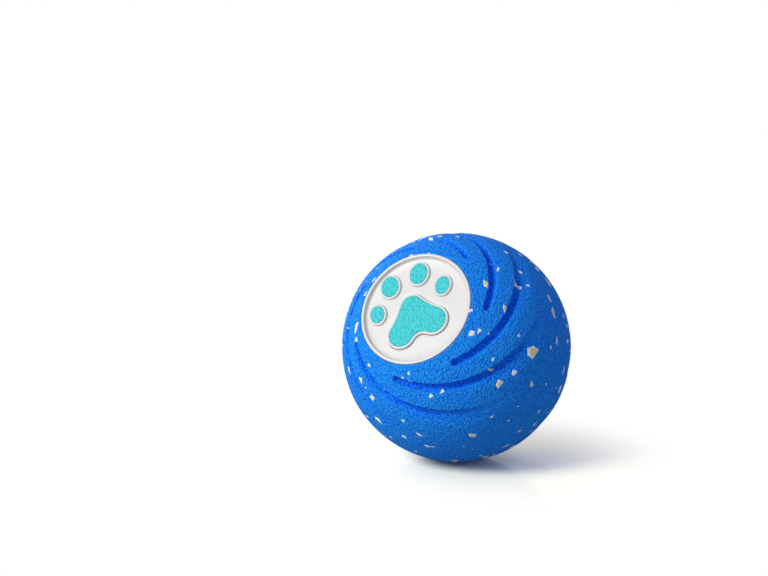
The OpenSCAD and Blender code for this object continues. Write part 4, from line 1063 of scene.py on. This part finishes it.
METALS = (
    ("screw_steel", (206, 207, 210), (164, 166, 170), 0.28),
    ("motor_steel", (204, 206, 208), (168, 170, 174)),
    ("axle_steel", (196, 198, 202), (158, 160, 166), 0.22),
    ("weight_steel", (166, 170, 176), (126, 130, 136), 0.45),
    ("socket_steel", (212, 214, 216), (178, 180, 184)),
    ("brass_bare", (222, 184, 108), (186, 146, 76), 0.3))
finishes = {"foam_blue": foam_finish, "paw_teal": teal_finish}
finishes.update({row[0]: moulded(*row) for row in PLASTICS})
finishes.update({row[0]: turned(*row) for row in METALS})
print("finishes:", len(finishes))

# %% Every other node by its slot
for part in frame["record"]["subparts"]:
    dress(frame["nodes"][part["node"]], finishes[part["material_slot"]])
for piece, slot in ((paw_cap, "cap_white"), (paw_button_top, "cap_white"), (cross_screws, "screw_steel")):
    dress(piece, finishes[slot])

# %% [markdown]
# ## Floor, light and background
# The ball stands on a white studio sweep. Far from the ball the floor is simply white to the camera,
# and near it the floor is a pale diffuse surface that keeps the shadow, so the picture fades to
# white without extra light on the ball. That surface is brighter to the camera than to the light
# that bounces off it, which keeps the shadow soft and the ball's underside dark. A weak gloss
# mirrors the underside. The world is white to the camera and in reflections, and only a mild, cool
# fill otherwise. Two square lamps do the rest: the key, to the left in front of the ball and above
# it, draws the shading, and one behind it on the left lights the back and softens the shadow.

# %% Floor
WHITE = (1, 1, 1, 1)
FLOOR_HALF = 3.0
SHADE_NEAR, SHADE_FAR, SHADE_MIDDLE = 0.02, 0.07, RIGHT * 0.012
FLOOR_GLOSS, GLOSS_ROUGH = 0.1, 0.12
FLOOR_DULL, FLOOR_SEEN = (0.4, 0.4, 0.4, 1), (1.7, 1.65, 1.22, 1)


def seen_by_camera(tree):
    """1 for what the camera sees, straight or in gloss or glass, and 0 for light that only fills."""
    rays = add(tree, "LightPath").outputs
    in_gloss_or_glass = maths(tree, "MAXIMUM", rays["Is Glossy Ray"], rays["Is Transmission Ray"])
    return maths(tree, "MAXIMUM", rays["Is Camera Ray"], in_gloss_or_glass)


corners = [(x * FLOOR_HALF, y * FLOOR_HALF, 0) for x, y in ((-1, -1), (1, -1), (1, 1), (-1, 1))]
floor_mesh = bpy.data.meshes.new("floor")
floor_mesh.from_pydata(corners, [], [(0, 1, 2, 3)])
floor = placed("floor", floor_mesh)
floor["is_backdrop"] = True
sweep = bpy.data.materials.new("studio_sweep")
sweep.use_nodes = True
tree = sweep.node_tree
tree.nodes.remove(tree.nodes["Principled BSDF"])
spots = add(tree, "TexCoord").outputs["Object"]
away = add(tree, "VectorMath", {0: spots, 1: SHADE_MIDDLE}, operation="DISTANCE").outputs["Value"]
whiten = eased(tree, away, SHADE_NEAR, SHADE_FAR)
seen = seen_by_camera(tree)
floor_tone = blended(tree, seen, FLOOR_DULL, FLOOR_SEEN)
matte = add(tree, "BsdfDiffuse", {"Color": floor_tone}).outputs[0]
gloss = add(tree, "BsdfGlossy", {"Color": WHITE, "Roughness": GLOSS_ROUGH}).outputs[0]
glow = add(tree, "Emission", {"Color": WHITE, "Strength": 1.0}).outputs[0]
surface = add(tree, "MixShader", {0: FLOOR_GLOSS, 1: matte, 2: gloss}).outputs[0]
white_share = maths(tree, "MULTIPLY", whiten, seen)
final = add(tree, "MixShader", {0: white_share, 1: surface, 2: glow}).outputs[0]
tree.links.new(final, tree.nodes["Material Output"].inputs["Surface"])
floor_mesh.materials.append(sweep)
print("floor", 2 * FLOOR_HALF, "m wide")

# %% World
FILL, FILL_TINT = 0.33, (0.88, 0.9, 1.36, 1.0)
world = bpy.data.worlds.new("studio")
bpy.context.scene.world = world
world.use_nodes = True
tree = world.node_tree
seen = seen_by_camera(tree)
strength = add(tree, "MapRange", {"Value": seen, "To Min": FILL, "To Max": 1.0}).outputs[0]
backdrop = tree.nodes["Background"]
tree.links.new(blended(tree, seen, FILL_TINT, WHITE), backdrop.inputs["Color"])
tree.links.new(strength, backdrop.inputs["Strength"])
print("fill", FILL)

# %% Lamps
LAMP_AWAY, LAMP_TINT = 0.9, (1.0, 1.0, 0.96)
KEY_LEAN, KEY_SIZE, KEY_WATTS = (-0.68, 0.4, 0.63), 0.36, 5.95
BEHIND_LEAN, BEHIND_SIZE, BEHIND_WATTS = (-0.4, 0.32, -0.86), 0.5, 3.8


def soft_lamp(name, lean, size, watts):
    """A square area lamp that looks at the ball; its lean is to the right, up and towards the camera."""
    way = (lean[0] * RIGHT + lean[1] * UP + lean[2] * BACK).normalized()
    lamp = aimed(name, bpy.data.lights.new(name, "AREA"), CENTRE + way * LAMP_AWAY, -way)
    lamp.data.size = size
    lamp.data.energy = watts
    lamp.data.color = LAMP_TINT


soft_lamp("key", KEY_LEAN, KEY_SIZE, KEY_WATTS)
soft_lamp("back", BEHIND_LEAN, BEHIND_SIZE, BEHIND_WATTS)
bpy.context.scene.view_settings.view_transform = "Standard"
print("lamps of", KEY_WATTS, "and", BEHIND_WATTS, "W at", LAMP_AWAY, "m")

# %% [markdown]
# ## Finish
# The dressed ball has to stay inside the box of the construction, so both boxes are written down
# side by side.

# %% Sizes and finish
visual_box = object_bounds()
for label, box in (("CAD box", cad_box), ("dressed box", visual_box)):
    print(label, [[round(v, 4) for v in corner] for corner in box])
